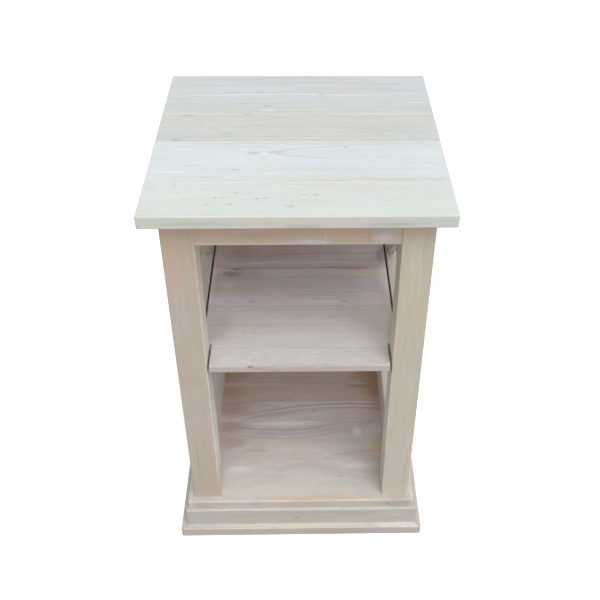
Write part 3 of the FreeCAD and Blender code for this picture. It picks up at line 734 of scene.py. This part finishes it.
TOP = Blank(height=650, cuts=[
    Cut(across=-150, below=85, lean=0.012, ring=7.0, sway=14, figure=0.16, cloud=0.10, seed=3.1),
    Cut(across=-46, below=60, lean=-0.02, ring=7.0, sway=14, figure=0.12, cloud=0.08, seed=11.7),
    Cut(across=70, below=40, lean=0.008, ring=6.0, sway=26, figure=0.16, cloud=0.10, seed=23.4),
    Cut(across=120, below=55, lean=-0.01, ring=6.0, sway=30, figure=0.18, cloud=0.12, seed=31.9),
    Cut(across=230, below=50, lean=0.01, ring=6.0, sway=36, figure=0.24, cloud=0.12, seed=7.3),
])
SHELF = Blank(height=374, cuts=[
    Cut(across=-160, below=30, lean=0.03, ring=5.0, sway=20, figure=0.22, cloud=0.14, seed=13.2),
    Cut(across=-20, below=70, lean=0.014, ring=9.0, sway=24, figure=0.15, cloud=0.18, seed=19.8),
    Cut(across=70, below=45, lean=-0.01, ring=11.0, sway=24, figure=0.19, cloud=0.26, seed=27.1),
    Cut(across=60, below=50, lean=0.012, ring=11.0, sway=24, figure=0.22, cloud=0.28, seed=5.6),
])
FLOOR = Blank(height=65, cuts=[
    Cut(across=-150, below=48, lean=0.03, ring=8.0, sway=60, figure=0.30, cloud=0.20, seed=9.4),
    Cut(across=-70, below=52, lean=-0.034, ring=8.0, sway=60, figure=0.36, cloud=0.24, seed=16.3),
    Cut(across=15, below=45, lean=0.022, ring=8.0, sway=50, figure=0.45, cloud=0.24, seed=21.5),
    Cut(across=95, below=40, lean=-0.018, ring=9.0, sway=30, figure=0.36, cloud=0.26, seed=33.7),
    Cut(across=60, below=60, lean=0.012, ring=9.0, sway=30, figure=0.40, cloud=0.26, seed=38.2),
])

# Pin knots in the front stave of the top: middle, half sizes along and across, strength
SPECKS = [
    (-156, -147, 6.0, 2.6, 0.20), (-125, -155, 7.0, 3.4, 0.12), (-106, -159, 3.2, 2.4, 0.36),
    (-97, -159, 4.5, 2.8, 0.20), (-80, -147, 6.0, 3.0, 0.26), (-66, -149, 8.0, 2.4, 0.16),
    (-86, -175, 6.0, 4.0, 0.24), (-116, -174, 4.5, 3.0, 0.18), (-52, -161, 3.6, 2.6, 0.52),
    (-42, -160, 6.0, 3.6, 0.24), (8, -153, 7.0, 2.4, 0.26), (23, -153, 6.0, 3.2, 0.32),
    (-9, -179, 8.0, 4.0, 0.28),
]

# The marks on each board. Those of a glued-up panel may leave out their height
MARKS = {
    "top_stave_1": [
        *[patch("knot_and_shade", (x, y), *rest) for x, y, *rest in SPECKS],
        patch("brown", (-162, -128), 9, 6, 0.16),
        patch("pale", (-120, -124), 90, 9, 0.30),
        flecks("pale", (-90, -155), 150, 40, 0.22),
        flecks("lilac", (90, -158), 130, 40, 0.10),
        bow("brown", (-60, -130), 120, 3, 1.4, 0.20),
        bow("red", (110, -121), 110, 3, 1.8, 0.24),
        patch("cream", (20, -202.6, 660), 260, 1.4, 0.75, 2.0),
        patch("orange", (0, -203.5), 320, 2.4, 0.26, 10),
        patch("red", (120, -203.5, 648), 50, 2.4, 0.30, 4),
        patch("red", (8, -203.5, 645), 34, 2.4, 0.32, 4),
        patch("grey", (-120, -203.5), 60, 2.4, 0.30, 5),
    ],
    "top_stave_2": [
        patch("cream", (0, -120), 260, 30, 0.30),
        patch("lilac", (-62, -46), 14, 6.6, 0.72),
        tongue("lilac", (-43, -45), 200, 0.80),
        patch("pale", (-43, -49), 18, 2.4, 0.80),
        patch("knot_and_shade", (67, -30), 3.4, 2.6, 0.60),
        patch("knot_and_shade", (-83, -90), 9, 2.2, 0.40),
        patch("brown", (-145, -78), 16, 3.0, 0.22),
        patch("red", (-118, -109), 28, 3.4, 0.14),
        patch("grey", (20, -90), 180, 10, 0.18),
        flecks("pale", (-80, -84), 130, 36, 0.28),
        bow("brown", (20, -20), 230, 3, 1.5, 0.30),
        bow("red", (-20, -26), 210, 5, 1.4, 0.24),
        bow("lilac", (-120, -33), 110, 5, 1.6, 0.45),
        bow("lilac", (110, -29), 100, 4, 1.5, 0.45),
        patch("grey", (60, -112), 200, 12, 0.18),
        bow("red", (140, -116), 90, 3, 1.6, 0.30),
        patch("pale", (-170, -96), 30, 3, 0.60),
        patch("pale", (-90, -70), 30, 2, 0.40),
    ],
    "top_stave_3": [
        bow("brown", (0, -11), 240, 3, 1.6, 0.26),
        bow("red", (-60, -2), 160, 3, 1.6, 0.22),
        bow("pale", (-20, -8), 190, 3, 1.4, 0.40),
        patch("brown", (-174, -8), 7, 5, 0.38),
        patch("brown", (-103, 10), 13, 5, 0.22),
        bow("brown", (80, 8), 130, 6, 1.6, 0.22),
        patch("orange", (116, 5), 28, 5, 0.24),
        patch("brown", (112, 24), 34, 14, 0.10),
        patch("orange", (-80, 30), 110, 14, 0.10),
        flecks("pale", (0, 24), 190, 30, 0.16),
        flecks("brown", (-20, 22), 180, 34, 0.09),
        bow("brown", (60, 34), 180, -5, 1.5, 0.20),
        patch("grey", (150, 30), 30, 22, 0.25),
    ],
    "top_stave_4": [
        patch("knot_and_shade", (-76, 68), 7, 4, 0.30),
        patch("brown", (-164, 66), 12, 6, 0.20),
        patch("pale", (-45, 82), 16, 3, 0.50),
        patch("brown", (-47, 96), 9, 5, 0.28),
        bow("pale", (-150, 68), 60, 3, 1.8, 0.70),
        bow("pale", (130, 66), 100, 4, 1.6, 0.60),
        patch("orange", (-120, 84), 60, 12, 0.12),
        flecks("pale", (20, 82), 190, 22, 0.18),
        bow("brown", (20, 74), 150, 5, 1.4, 0.25),
        bow("brown", (60, 88), 170, 4, 1.5, 0.26),
    ],
    "top_stave_5": [
        bow("pale", (-39, 126), 190, 9, 2.4, 0.60),
        bow("pale", (150, 128), 90, 8, 1.6, 0.35),
        patch("pale", (185, 106), 34, 1.8, 0.70),
        patch("knot_and_shade", (36, 134), 7, 4, 0.45),
        flecks("pale", (-40, 150), 180, 44, 0.20),
        bow("brown", (-20, 134), 150, 9, 1.6, 0.30),
        bow("brown", (90, 146), 130, 8, 1.8, 0.24),
        bow("brown", (-90, 160), 120, 7, 1.8, 0.26),
        bow("brown", (40, 168), 170, 8, 2.0, 0.36),
        bow("brown", (-40, 184), 190, 7, 1.8, 0.26),
        patch("lilac", (90, 152), 120, 20, 0.34),
        patch("lilac", (-60, 185), 170, 14, 0.30),
    ],
    "shelf_stave_1": [
        flecks("pale", (0, -160), 210, 26, 0.30),
        flecks("lilac", (20, -158), 190, 24, 0.20),
        # Reddish patches at the front corners beside the legs: painted shade near the legs
        patch("red", (-126, -166), 10, 22, 0.25),
        patch("red", (130, -160), 10, 16, 0.20),
        # Brown line along the top front arris: painted shade that tones down the arris's
        # highlight
        patch("brown", (0, -179.6, 381), 300, 2.0, 0.40, 2.2),
        *patches((0, -180.5, 373), 300, 2.4, 9, orange=0.24, brown=0.24, red=0.14),
        patch("orange", (118, -180.5), 40, 2.4, 0.10, 9),
        patch("knot_and_shade", (-73, -180, 378.5), 6, 3, 0.85, 2.2),
        patch("brown", (-63, -180.5, 375.5), 9, 3, 0.80, 1.5),
        patch("brown", (-52, -180.5, 372.5), 11, 3, 0.80, 1.4),
        patch("brown", (-36, -180.5, 370), 15, 3, 0.70, 1.3),
    ],
    "shelf_stave_2": [
        patch("brown", (-122, -98), 24, 44, 0.24),
        patch("orange", (134, -100), 12, 50, 0.12),
        patch("pale", (134, -110), 14, 40, 0.45),
        bow("red", (40, -94), 130, 3, 1.8, 0.20),
        bow("red", (-80, -86), 70, -3, 1.6, 0.24),
        patch("cream", (-100, -98), 60, 9, 0.35),
        flecks("brown", (-90, -104), 70, 30, 0.22),
        flecks("lilac", (30, -70), 120, 30, 0.25),
        patch("pale", (10, -120), 120, 10, 0.15),
        bow("grey", (20, -58), 150, 5, 2.2, 0.35),
    ],
    "shelf_stave_3": [
        patch("knot_and_shade", (-106, 52), 11, 3.0, 0.85),
        patch("brown", (-60, 54), 120, 5.5, 0.45),
        patch("red", (60, 54.5), 80, 3.2, 0.70),
        patch("red", (96, 53), 40, 5.5, 0.60),
        patch("orange", (122, 51), 14, 4.0, 0.40),
        patch("brown", (-115, 37), 22, 10, 0.70),
        patch("red", (-98, 36), 58, 26, 0.42),
        # Brown band along the left edge: painted shadow beside the slot
        patch("brown", (-140, 6), 16, 40, 0.30),
        patch("brown", (-92, -4), 60, 18, 0.16),
        patch("knot_and_shade", (-77, -33), 6, 2.6, 0.45),
        patch("pale", (48, -36), 26, 4.0, 0.85),
        patch("pale", (20, -32), 60, 3.0, 0.40),
        patch("brown", (71, -34), 6, 5, 0.35),
        bow("pale", (0, 36), 130, -5, 2.0, 0.35),
        bow("brown", (30, 26), 120, 4, 3.0, 0.24),
        bow("brown", (-40, -20), 140, 3, 3.0, 0.16),
        bow("brown", (80, -8), 90, -3, 2.4, 0.24),
        patch("pale", (122, 28), 36, 30, 0.26),
        patch("lilac", (40, 10), 130, 30, 0.22),
        flecks("lilac", (0, 8), 150, 44, 0.25),
    ],
    "shelf_stave_4": [
        bow("pale", (0, 65), 150, 4, 4.0, 0.60),
        patch("orange", (-124, 98), 30, 26, 0.44),
        patch("brown", (-96, 98), 34, 30, 0.42),
        patch("red", (-45, 98), 70, 24, 0.34),
        patch("pale", (104, 94), 44, 26, 0.66),
        patch("red", (110, 92), 44, 26, 0.10),
        # Brown band at the right edge: painted shadow beside the slot
        patch("brown", (138, 88), 9, 26, 0.50),
        bow("brown", (60, 90), 130, 5, 3.0, 0.34),
        bow("brown", (-60, 112), 120, 5, 3.0, 0.34),
    ],
    "floor_stave_1": [
        bow("lilac", (10, -148), 72, 36, 7.0, 0.80),
        bow("red", (10, -148), 66, 29, 1.8, 0.26),
        bow("lilac", (14, -160), 80, 32, 4.5, 0.45),
        patch("pale", (100, -116), 46, 10, 0.50),
        patch("lilac", (-80, -112), 60, 9, 0.35),
        patch("pale", (-110, -122), 34, 9, 0.40),
        patch("cream", (0, -170), 170, 16, 0.45),
        flecks("cream", (0, -158), 180, 40, 0.30),
        flecks("lilac", (30, -150), 170, 40, 0.24),
        flecks("orange", (-10, -188), 60, 7, 0.60),
        *patches((-164, -184, 70), 34, 16, orange=0.22, brown=0.20),
        patch("brown", (164, -184, 70), 34, 16, 0.42),
        patch("red", (-160, -190.5, 64), 50, 3, 0.08, 12),
        patch("orange", (20, -184), 110, 5, 0.30),
        patch("knot_and_shade", (68, -140), 6, 3, 0.30),
        patch("grey", (-72, -152), 10, 6, 0.35),
        patch("knot_and_shade", (146, -190.5, 67), 7, 3, 0.50, 5),
        patch("brown", (-74, -190.5, 66), 14, 3, 0.30, 6),
        patch("orange", (0, -191, 66), 320, 2.4, 0.20, 12),
        patch("brown", (0, -191, 64), 320, 2.4, 0.22, 10),
    ],
    "floor_stave_2": [
        patch("pale", (-35, -14), 90, 17, 0.95),
        bow("red", (-38, -14), 116, -20, 3.0, 0.50),
        bow("lilac", (-36, -18), 124, -26, 6.0, 0.80),
        bow("red", (-34, -26), 132, -28, 2.6, 0.40),
        patch("lilac", (70, -34), 60, 14, 0.35),
        patch("pale", (103, -38), 11, 16, 0.60),
        patch("cream", (-10, -76), 120, 12, 0.35),
        flecks("brown", (-90, -70), 60, 30, 0.22),
        flecks("pale", (10, -80), 110, 24, 0.24),
        *patches((-126, -26), 34, 18, red=0.40, orange=0.16),
        *patches((-126, -62), 32, 18, red=0.40, orange=0.16),
        # These patches at the right paint light, which lifts the floor in the shade of the
        # right-hand side
        *patches((136, -32), 24, 24, pale=0.95, orange=0.16, red=0.08),
        patch("cream", (136, -72), 24, 34, 0.90),
        patch("orange", (136, -66), 24, 30, 0.30),
        patch("orange", (-68, -82), 10, 5, 0.60),
        patch("brown", (-84, -80), 26, 6, 0.30),
        patch("orange", (-100, -98.5), 46, 3.4, 0.45),
        bow("orange", (142, -104), 110, 18, 2.8, 0.45),
        bow("brown", (142, -99), 104, 17, 2.0, 0.44),
    ],
    "floor_stave_3": [
        patch("pale", (-10, 34), 135, 2.2, 0.55),
        bow("pale", (84, -20), 250, 44, 2.0, 0.75),
        bow("pale", (84, -8), 250, 42, 2.0, 0.65),
        bow("red", (80, -26), 240, 46, 3.0, 0.50),
        bow("red", (80, -14), 240, 44, 2.8, 0.50),
        patch("lilac", (-70, 8), 90, 20, 0.40),
        *patches((-128, 22), 44, 28, red=0.50, orange=0.16),
        patch("knot_and_shade", (25, 13), 7, 4.4, 0.50),
        patch("grey", (75, 10), 60, 16, 0.30),
        # Brown and orange at the right: painted shadow, the front end of the dark wedge towards
        # the right back corner
        patch("brown", (152, 28), 24, 18, 0.20),
        patch("orange", (146, 26), 30, 24, 0.24),
        patch("pale", (30, 16), 60, 16, 0.30),
    ],
    "floor_stave_4": [
        patch("lilac", (45, 85), 80, 6, 0.60),
        # The brown and orange patches at both sides are painted shadow towards the back, darkest
        # at the right
        patch("brown", (118, 76), 46, 7, 0.60),
        patch("brown", (148, 72), 44, 26, 0.84),
        patch("orange", (146, 62), 44, 34, 0.70),
        patch("orange", (-126, 60), 42, 26, 0.56),
        patch("brown", (-134, 60), 26, 20, 0.20),
        patch("cream", (-40, 62), 120, 14, 0.25),
        flecks("brown", (-20, 60), 140, 24, 0.16),
    ],
    "floor_stave_5": [
        # The brown and orange patches in both back corners are painted shadow, darkest at the
        # right
        patch("brown", (140, 108), 50, 36, 0.90),
        patch("orange", (140, 108), 54, 36, 0.62),
        patch("brown", (-138, 112), 38, 32, 0.42),
        patch("orange", (-132, 112), 48, 34, 0.56),
        patch("lilac", (-40, 98), 110, 9, 0.40),
    ],
    "leg_front_left": [
        # Orange band at the top of the leg: painted shade with a warm cast, under the table top
        patch("orange", (-158, 0, 642), 36, 90, 0.70),
        patch("orange", (-172, 0, 560), 120, 18, 0.32),
        # The brown and orange patches low on the front are painted shade, which darkens the leg
        # towards its foot
        patch("brown", (-158, 0, 120), 150, 40, 0.16),
        patch("orange", (-158, 0, 130), 150, 40, 0.12),
        patch("lilac", (-166, 0, 470), 70, 12, 0.30),
        patch("red", (-158, 0, 349), 16, 24, 0.14),
        patch("orange", (-148, 0, 440), 60, 5, 0.30),
        patch("orange", (-147, 0, 130), 60, 3, 0.28),
        patch("brown", (-166, 0, 175), 60, 2, 0.35),
        patch("grey", (-172, 0, 240), 80, 7, 0.30),
        patch("orange", (-158, 0, 600), 60, 26, 0.20),
        *patches((-141, 0, 560), 100, 5, orange=0.30, brown=0.12),
        # On the inner face, the pale patches are painted light that lifts the face, and the dark
        # spot at the shelf's level is painted shade in the slot beside the shelf
        patch("pale", (-135.5, 0, 380), 330, 2.6, 0.66),
        patch("orange", (-135.5, 0, 440), 160, 2.6, 0.30),
        patch("pale", (-135.5, 0, 190), 110, 3.0, 0.56),
        patch("knot_and_shade", (-135.5, 0, 371), 9, 1.8, 0.70),
    ],
    "leg_front_right": [
        # Orange at the top of the leg: painted shade with a warm cast, under the table top
        patch("orange", (158, 0, 642), 36, 90, 0.70),
        patch("orange", (168, 0, 628), 30, 10, 0.30),
        patch("orange", (158, 0, 560), 110, 30, 0.14),
        patch("cream", (156, 0, 560), 80, 9, 0.25),
        bow("pale", (167, 0, 560), 70, -4, 1.4, 0.25),
        patch("grey", (176, 0, 330), 110, 7, 0.40),
        patch("red", (158, 0, 201), 2.4, 22, 0.20),
        patch("grey", (160, 0, 140), 60, 14, 0.30),
        patch("brown", (172, 0, 150), 50, 3, 0.20),
        # On the inner face, the pale patches are painted light that lifts the face, and the dark
        # spot at the shelf's level is painted shade in the slot beside the shelf
        patch("pale", (135.5, 0, 380), 330, 2.4, 0.50),
        patch("pale", (135.5, 0, 260), 120, 2.6, 0.55),
        patch("orange", (135.5, 0, 500), 150, 2.6, 0.46),
        patch("brown", (135.5, 0, 520), 110, 2.6, 0.10),
        patch("knot_and_shade", (135.5, 0, 371), 9, 1.8, 0.70),
    ],
    "top_rail_front": [
        # Orange and brown band along the upper part: painted shade with a warm cast, under the
        # table top
        *patches((0, 0, 627), 260, 12, orange=0.60, brown=0.14),
        patch("pale", (0, 0, 600), 260, 7, 0.16),
        patch("orange", (-115, 0, 624), 30, 20, 0.45),
        patch("brown", (-105, 0, 636), 40, 5, 0.25),
        patch("brown", (-60, 0, 614), 40, 5, 0.20),
        patch("lilac", (12, 0, 606), 30, 8, 0.55),
        patch("pale", (22, 0, 604), 26, 5, 0.30),
        patch("pale", (35.5, 0, 609), 1.6, 7, 0.35),
        patch("red", (18, 0, 630), 18, 8, 0.18),
        patch("orange", (54, 0, 622), 18, 22, 0.35),
        patch("red", (67, 0, 628), 2, 9, 0.35),
        patch("lilac", (114, 0, 616), 20, 18, 0.65),
        patch("pale", (114, 0, 610), 16, 9, 0.30),
        patch("brown", (93, 0, 612), 2.4, 14, 0.30),
        # Dark lines where the rail meets the legs: a dark joint, and partly painted shade in the
        # recess between the rail and the legs
        patch("brown", (-136, 0, 620), 1.4, 60, 0.50),
        patch("brown", (136, 0, 620), 1.6, 60, 0.55),
    ],
    "plinth_front": [
        patch("pale", (0, -192, 57), 300, 2.4, 0.32, 12),
        patch("knot_and_shade", (-8, 0, 35), 8, 5, 0.28),
        patch("grey", (-155, 0, 36), 46, 22, 0.45),
        patch("brown", (-106, 0, 37), 4, 3, 0.30),
        patch("red", (60, 0, 46), 90, 5, 0.22),
        patch("orange", (110, 0, 30), 70, 8, 0.22),
        patch("cream", (160, 0, 44), 30, 10, 0.25),
    ],
    "base_front": [
        *patches((0, -200, 19), 320, 14, 3, cream=0.60, pale=0.22),
        patch("orange", (-10, -205, 12), 92, 9, 0.38, 8),
        patch("red", (60, -205, 10), 70, 4, 0.22),
        patch("lilac", (-150, -198, 16), 50, 12, 0.25),
        patch("pale", (166, -200, 19), 44, 14, 0.55, 3),
    ],
}


# ---------------------------------------------------------------- screws and stage

ZINC_BLOOM = Grain((3, 3, 3), 3.0, 0.35, 0.70)
ZINC_SCRATCHES = Grain((0.4, 0.4, 4), 2.0)
FLOOR_MOTTLE = Grain((600, 600, 600), 2.0)
WHITE = (1.0, 1.0, 1.0)
# Width of the camera's film, in millimetres
FILM_WIDTH = 36.0


def zinc_steel():
    """Steel with a thin zinc coat, dulled here and there and finely scratched."""
    dulled = 0.72           # how light the dull parts are
    scratching = 0.30       # how much the scratches change the roughness
    finish = settings().screws
    material, shader, surface = new_material("zinc_steel")
    place = shader.coordinates("Object")
    dull = [channel * dulled for channel in finish.colour]
    colour = shader.blend(shader.spots(place, ZINC_BLOOM), rgba(finish.colour), rgba(dull))
    rough = shader.swing(place, ZINC_SCRATCHES) * scratching
    rough = shader.maths("ADD", rough, finish.roughness, clamp=True)
    shader.fill(surface, {"Base Color": colour, "Roughness": rough, "Metallic": 1.0})
    return material


def soft_light(name, towards, spread, strength):
    """Far, soft light that shines from a direction."""
    light = bpy.data.lights.new(name, "SUN")
    light.angle = spread
    light.energy = strength
    lamp = bpy.data.objects.new(name, light)
    lamp.rotation_euler = Vector(towards).to_track_quat("Z", "Y").to_euler()
    bpy.context.scene.collection.objects.link(lamp)


def room_light(world, stage):
    """Light from pale walls, more from the right, less from the ceiling and least from below."""
    # How far up a direction points: 0 at the horizon and 1 straight up
    walls_end, ceiling_starts = 0.30, 0.75
    walls_foot, ground_starts = -0.02, -0.12
    shader = Shader(world.node_tree)
    direction = shader.split(shader.coordinates("Generated"))
    right, up = direction[0], direction[2]
    overhead = shader.step(up, walls_end, ceiling_starts)
    light = shader.blend(overhead, rgba(stage.walls), rgba(stage.ceiling))
    below = shader.step(up, walls_foot, ground_starts)
    light = shader.blend(below, light, rgba(stage.ground))
    light = shader.tint(light, shader.grey(right * stage.right_light + 1.0))
    shader.fill(world.node_tree.nodes["Background"], {"Color": light})


def studio_floor(stage):
    """Plain pale floor, which throws no soft light back on the table."""
    mottled = 0.985         # how light the darker patches are
    roughness = 0.9
    mesh = bpy.data.meshes.new("studio_floor")
    shape = bmesh.new()
    bmesh.ops.create_grid(shape, x_segments=1, y_segments=1, size=stage.floor_half)
    shape.to_mesh(mesh)
    shape.free()
    floor = bpy.data.objects.new("studio_floor", mesh)
    bpy.context.scene.collection.objects.link(floor)
    material, shader, surface = new_material("studio_floor")
    mottle = shader.noise(shader.coordinates("Object"), FLOOR_MOTTLE)
    darker = [channel * mottled for channel in stage.floor]
    shader.fill(surface, {"Base Color": shader.blend(mottle, rgba(stage.floor), rgba(darker)),
                          "Roughness": roughness, "Emission Color": rgba(WHITE),
                          "Emission Strength": stage.floor_glow})
    mesh.materials.append(material)
    floor.visible_diffuse = False


def studio_camera(stage):
    """Camera in front of the table, which looks down on it."""
    view = bpy.data.cameras.new("camera")
    view.lens = stage.lens
    view.sensor_width = FILM_WIDTH
    view.shift_x = stage.shift_across
    view.shift_y = stage.shift_up
    camera = bpy.data.objects.new("camera", view)
    camera.matrix_world = (
        Matrix.Translation((stage.side, -stage.distance, stage.height))
        @ Matrix.Rotation(-stage.turn, 4, "Z")
        @ Matrix.Rotation(math.pi / 2 - stage.down, 4, "X")
        @ Matrix.Rotation(stage.roll, 4, "Z")
    )
    bpy.context.scene.collection.objects.link(camera)
    return camera


# ---------------------------------------------------------------- operators

class Undoable:
    """What the operators share: the editor can undo each of them."""

    bl_options = {"REGISTER", "UNDO"}


class END_TABLE_OT_top(Undoable, Operator):
    """Finish the five staves of the top"""

    bl_idname = "end_table.top"
    bl_label = "Top"

    def execute(self, context):
        dress_staves("top", TOP)
        return {"FINISHED"}


class END_TABLE_OT_legs(Undoable, Operator):
    """Finish the four legs, whose grain runs upright"""

    bl_idname = "end_table.legs"
    bl_label = "Legs"

    def execute(self, context):
        for end in ("front", "back"):
            for side in ("left", "right"):
                name = "leg_%s_%s" % (end, side)
                # The left legs' colour holds painted shade, as it is darker than the right legs'
                dress(name, getattr(settings().colours, "legs_" + side), Z_AXIS, X_AXIS,
                      chance_cut(name, figure=0.24))
        return {"FINISHED"}


class END_TABLE_OT_rails(Undoable, Operator):
    """Finish the rails under the top, beside the shelf and on the floor board"""

    bl_idname = "end_table.rails"
    bl_label = "Rails"

    def execute(self, context):
        colour = settings().colours.rails
        for name in ("top_rail_front", "top_rail_back", "low_rail_back"):
            dress(name, colour, X_AXIS, Z_AXIS)
        for level in ("top", "mid", "low"):
            for side in ("left", "right"):
                dress("%s_rail_%s" % (level, side), settings().colours.side_rails,
                      Y_AXIS, Z_AXIS)
        return {"FINISHED"}


class END_TABLE_OT_bars(Undoable, Operator):
    """Finish the crossed bars, whose grain runs from corner to corner"""

    bl_idname = "end_table.bars"
    bl_label = "Crossed bars"

    def execute(self, context):
        level_cut = 41 * MM     # length of the level cut at a bar's foot
        for side in ("left", "right"):
            for level in ("upper", "lower"):
                for slope, lean in (("falling", -1), ("rising", 1)):
                    name = "bar_%s_%s_%s" % (side, level, slope)
                    low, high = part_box(name)
                    size = high - low
                    run = Vector((0, lean * (size.y - level_cut), size.z))
                    across = Vector((0, -run.z, run.y))
                    wide = level_cut * run.z / run.length
                    half = Vector((FAR, wide, size.x)) / 2
                    dress(name, settings().colours.bars, run, across, half=half)
        return {"FINISHED"}


class END_TABLE_OT_shelf(Undoable, Operator):
    """Finish the four staves of the shelf"""

    bl_idname = "end_table.shelf"
    bl_label = "Shelf"

    def execute(self, context):
        dress_staves("shelf", SHELF)
        return {"FINISHED"}


class END_TABLE_OT_floor_board(Undoable, Operator):
    """Finish the five staves of the floor board"""

    bl_idname = "end_table.floor_board"
    bl_label = "Floor board"

    def execute(self, context):
        dress_staves("floor", FLOOR)
        return {"FINISHED"}


class END_TABLE_OT_plinth(Undoable, Operator):
    """Finish the four mitred boards of the plinth"""

    bl_idname = "end_table.plinth"
    bl_label = "Plinth"

    def execute(self, context):
        for side, along in (("front", X_AXIS), ("back", X_AXIS),
                            ("left", Y_AXIS), ("right", Y_AXIS)):
            dress("plinth_" + side, settings().colours.plinth, along, Z_AXIS, mitred=True)
        return {"FINISHED"}


class END_TABLE_OT_base(Undoable, Operator):
    """Finish the four mitred boards of the base moulding, which lie flat"""

    bl_idname = "end_table.base"
    bl_label = "Base moulding"

    def execute(self, context):
        for side, along, across in (("front", X_AXIS, Y_AXIS), ("back", X_AXIS, Y_AXIS),
                                    ("left", Y_AXIS, X_AXIS), ("right", Y_AXIS, X_AXIS)):
            dress("base_" + side, settings().colours.base, along, across, mitred=True)
        return {"FINISHED"}


class END_TABLE_OT_back_panel(Undoable, Operator):
    """Finish the back panel, whose grain runs upright"""

    bl_idname = "end_table.back_panel"
    bl_label = "Back panel"

    def execute(self, context):
        dress("back_panel", settings().colours.back_panel, Z_AXIS, X_AXIS)
        return {"FINISHED"}


class END_TABLE_OT_cleats(Undoable, Operator):
    """Finish the cleats and the glue blocks"""

    bl_idname = "end_table.cleats"
    bl_label = "Cleats and blocks"

    def execute(self, context):
        colour = settings().colours.inner
        for board in ("top", "shelf"):
            for side in ("left", "right"):
                dress("%s_cleat_%s" % (board, side), colour, Y_AXIS, Z_AXIS)
        dress("plinth_blocks", colour, X_AXIS, Y_AXIS)
        return {"FINISHED"}


class END_TABLE_OT_dowels(Undoable, Operator):
    """Finish the dowels and the pins of the bars"""

    bl_idname = "end_table.dowels"
    bl_label = "Dowels and pins"

    def execute(self, context):
        colour = settings().colours.dowels
        for name in ("top_rail_dowels", "mid_rail_dowels", "low_rail_dowels"):
            dress(name, colour, Y_AXIS, Z_AXIS)
        dress("bar_pins", colour, Z_AXIS, X_AXIS)
        return {"FINISHED"}


class END_TABLE_OT_screws(Undoable, Operator):
    """Finish the screws in zinc-plated steel"""

    bl_idname = "end_table.screws"
    bl_label = "Screws"

    def execute(self, context):
        material = zinc_steel()
        for name in ("top_screws", "shelf_screws", "cleat_screws", "leg_screws",
                     "plinth_screws", "base_screws"):
            paint(name, material)
        return {"FINISHED"}


class END_TABLE_OT_stage(Undoable, Operator):
    """Set up the floor, the lights and the camera"""

    bl_idname = "end_table.stage"
    bl_label = "Stage"

    def execute(self, context):
        stage = settings().stage
        scene = context.scene
        scene.view_settings.view_transform = "Standard"
        scene.view_settings.look = "None"
        studio_floor(stage)
        world = bpy.data.worlds.new("studio")
        world.use_nodes = True
        room_light(world, stage)
        scene.world = world
        soft_light("key_light", stage.key_from, stage.key_spread, stage.key_light)
        scene.camera = studio_camera(stage)
        return {"FINISHED"}


OPERATORS = [
    END_TABLE_OT_top, END_TABLE_OT_legs, END_TABLE_OT_rails, END_TABLE_OT_bars,
    END_TABLE_OT_shelf, END_TABLE_OT_floor_board, END_TABLE_OT_plinth, END_TABLE_OT_base,
    END_TABLE_OT_back_panel, END_TABLE_OT_cleats, END_TABLE_OT_dowels, END_TABLE_OT_screws,
    END_TABLE_OT_stage,
]


class END_TABLE_PT_sidebar(Panel):
    """Buttons for the pieces of the end table"""

    bl_label = "End Table"
    bl_idname = "END_TABLE_PT_sidebar"
    bl_space_type = "VIEW_3D"
    bl_region_type = "UI"
    bl_category = "End Table"

    def draw(self, context):
        column = self.layout.column(align=True)
        for operator in OPERATORS:
            column.operator(operator.bl_idname)


CLASSES = [BoardColours, WoodFinish, ScrewFinish, StageSettings, EndTableSettings,
           *OPERATORS, END_TABLE_PT_sidebar]


def register():
    for item in CLASSES:
        bpy.utils.register_class(item)
    bpy.types.Scene.end_table = PointerProperty(type=EndTableSettings)


def unregister():
    del bpy.types.Scene.end_table
    for item in reversed(CLASSES):
        bpy.utils.unregister_class(item)


def main():
    register()
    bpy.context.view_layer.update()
    bpy.ops.end_table.top()
    bpy.ops.end_table.legs()
    bpy.ops.end_table.rails()
    bpy.ops.end_table.bars()
    bpy.ops.end_table.shelf()
    bpy.ops.end_table.floor_board()
    bpy.ops.end_table.plinth()
    bpy.ops.end_table.base()
    bpy.ops.end_table.back_panel()
    bpy.ops.end_table.cleats()
    bpy.ops.end_table.dowels()
    bpy.ops.end_table.screws()
    bpy.ops.end_table.stage()


if __name__ == "__main__":
    main()
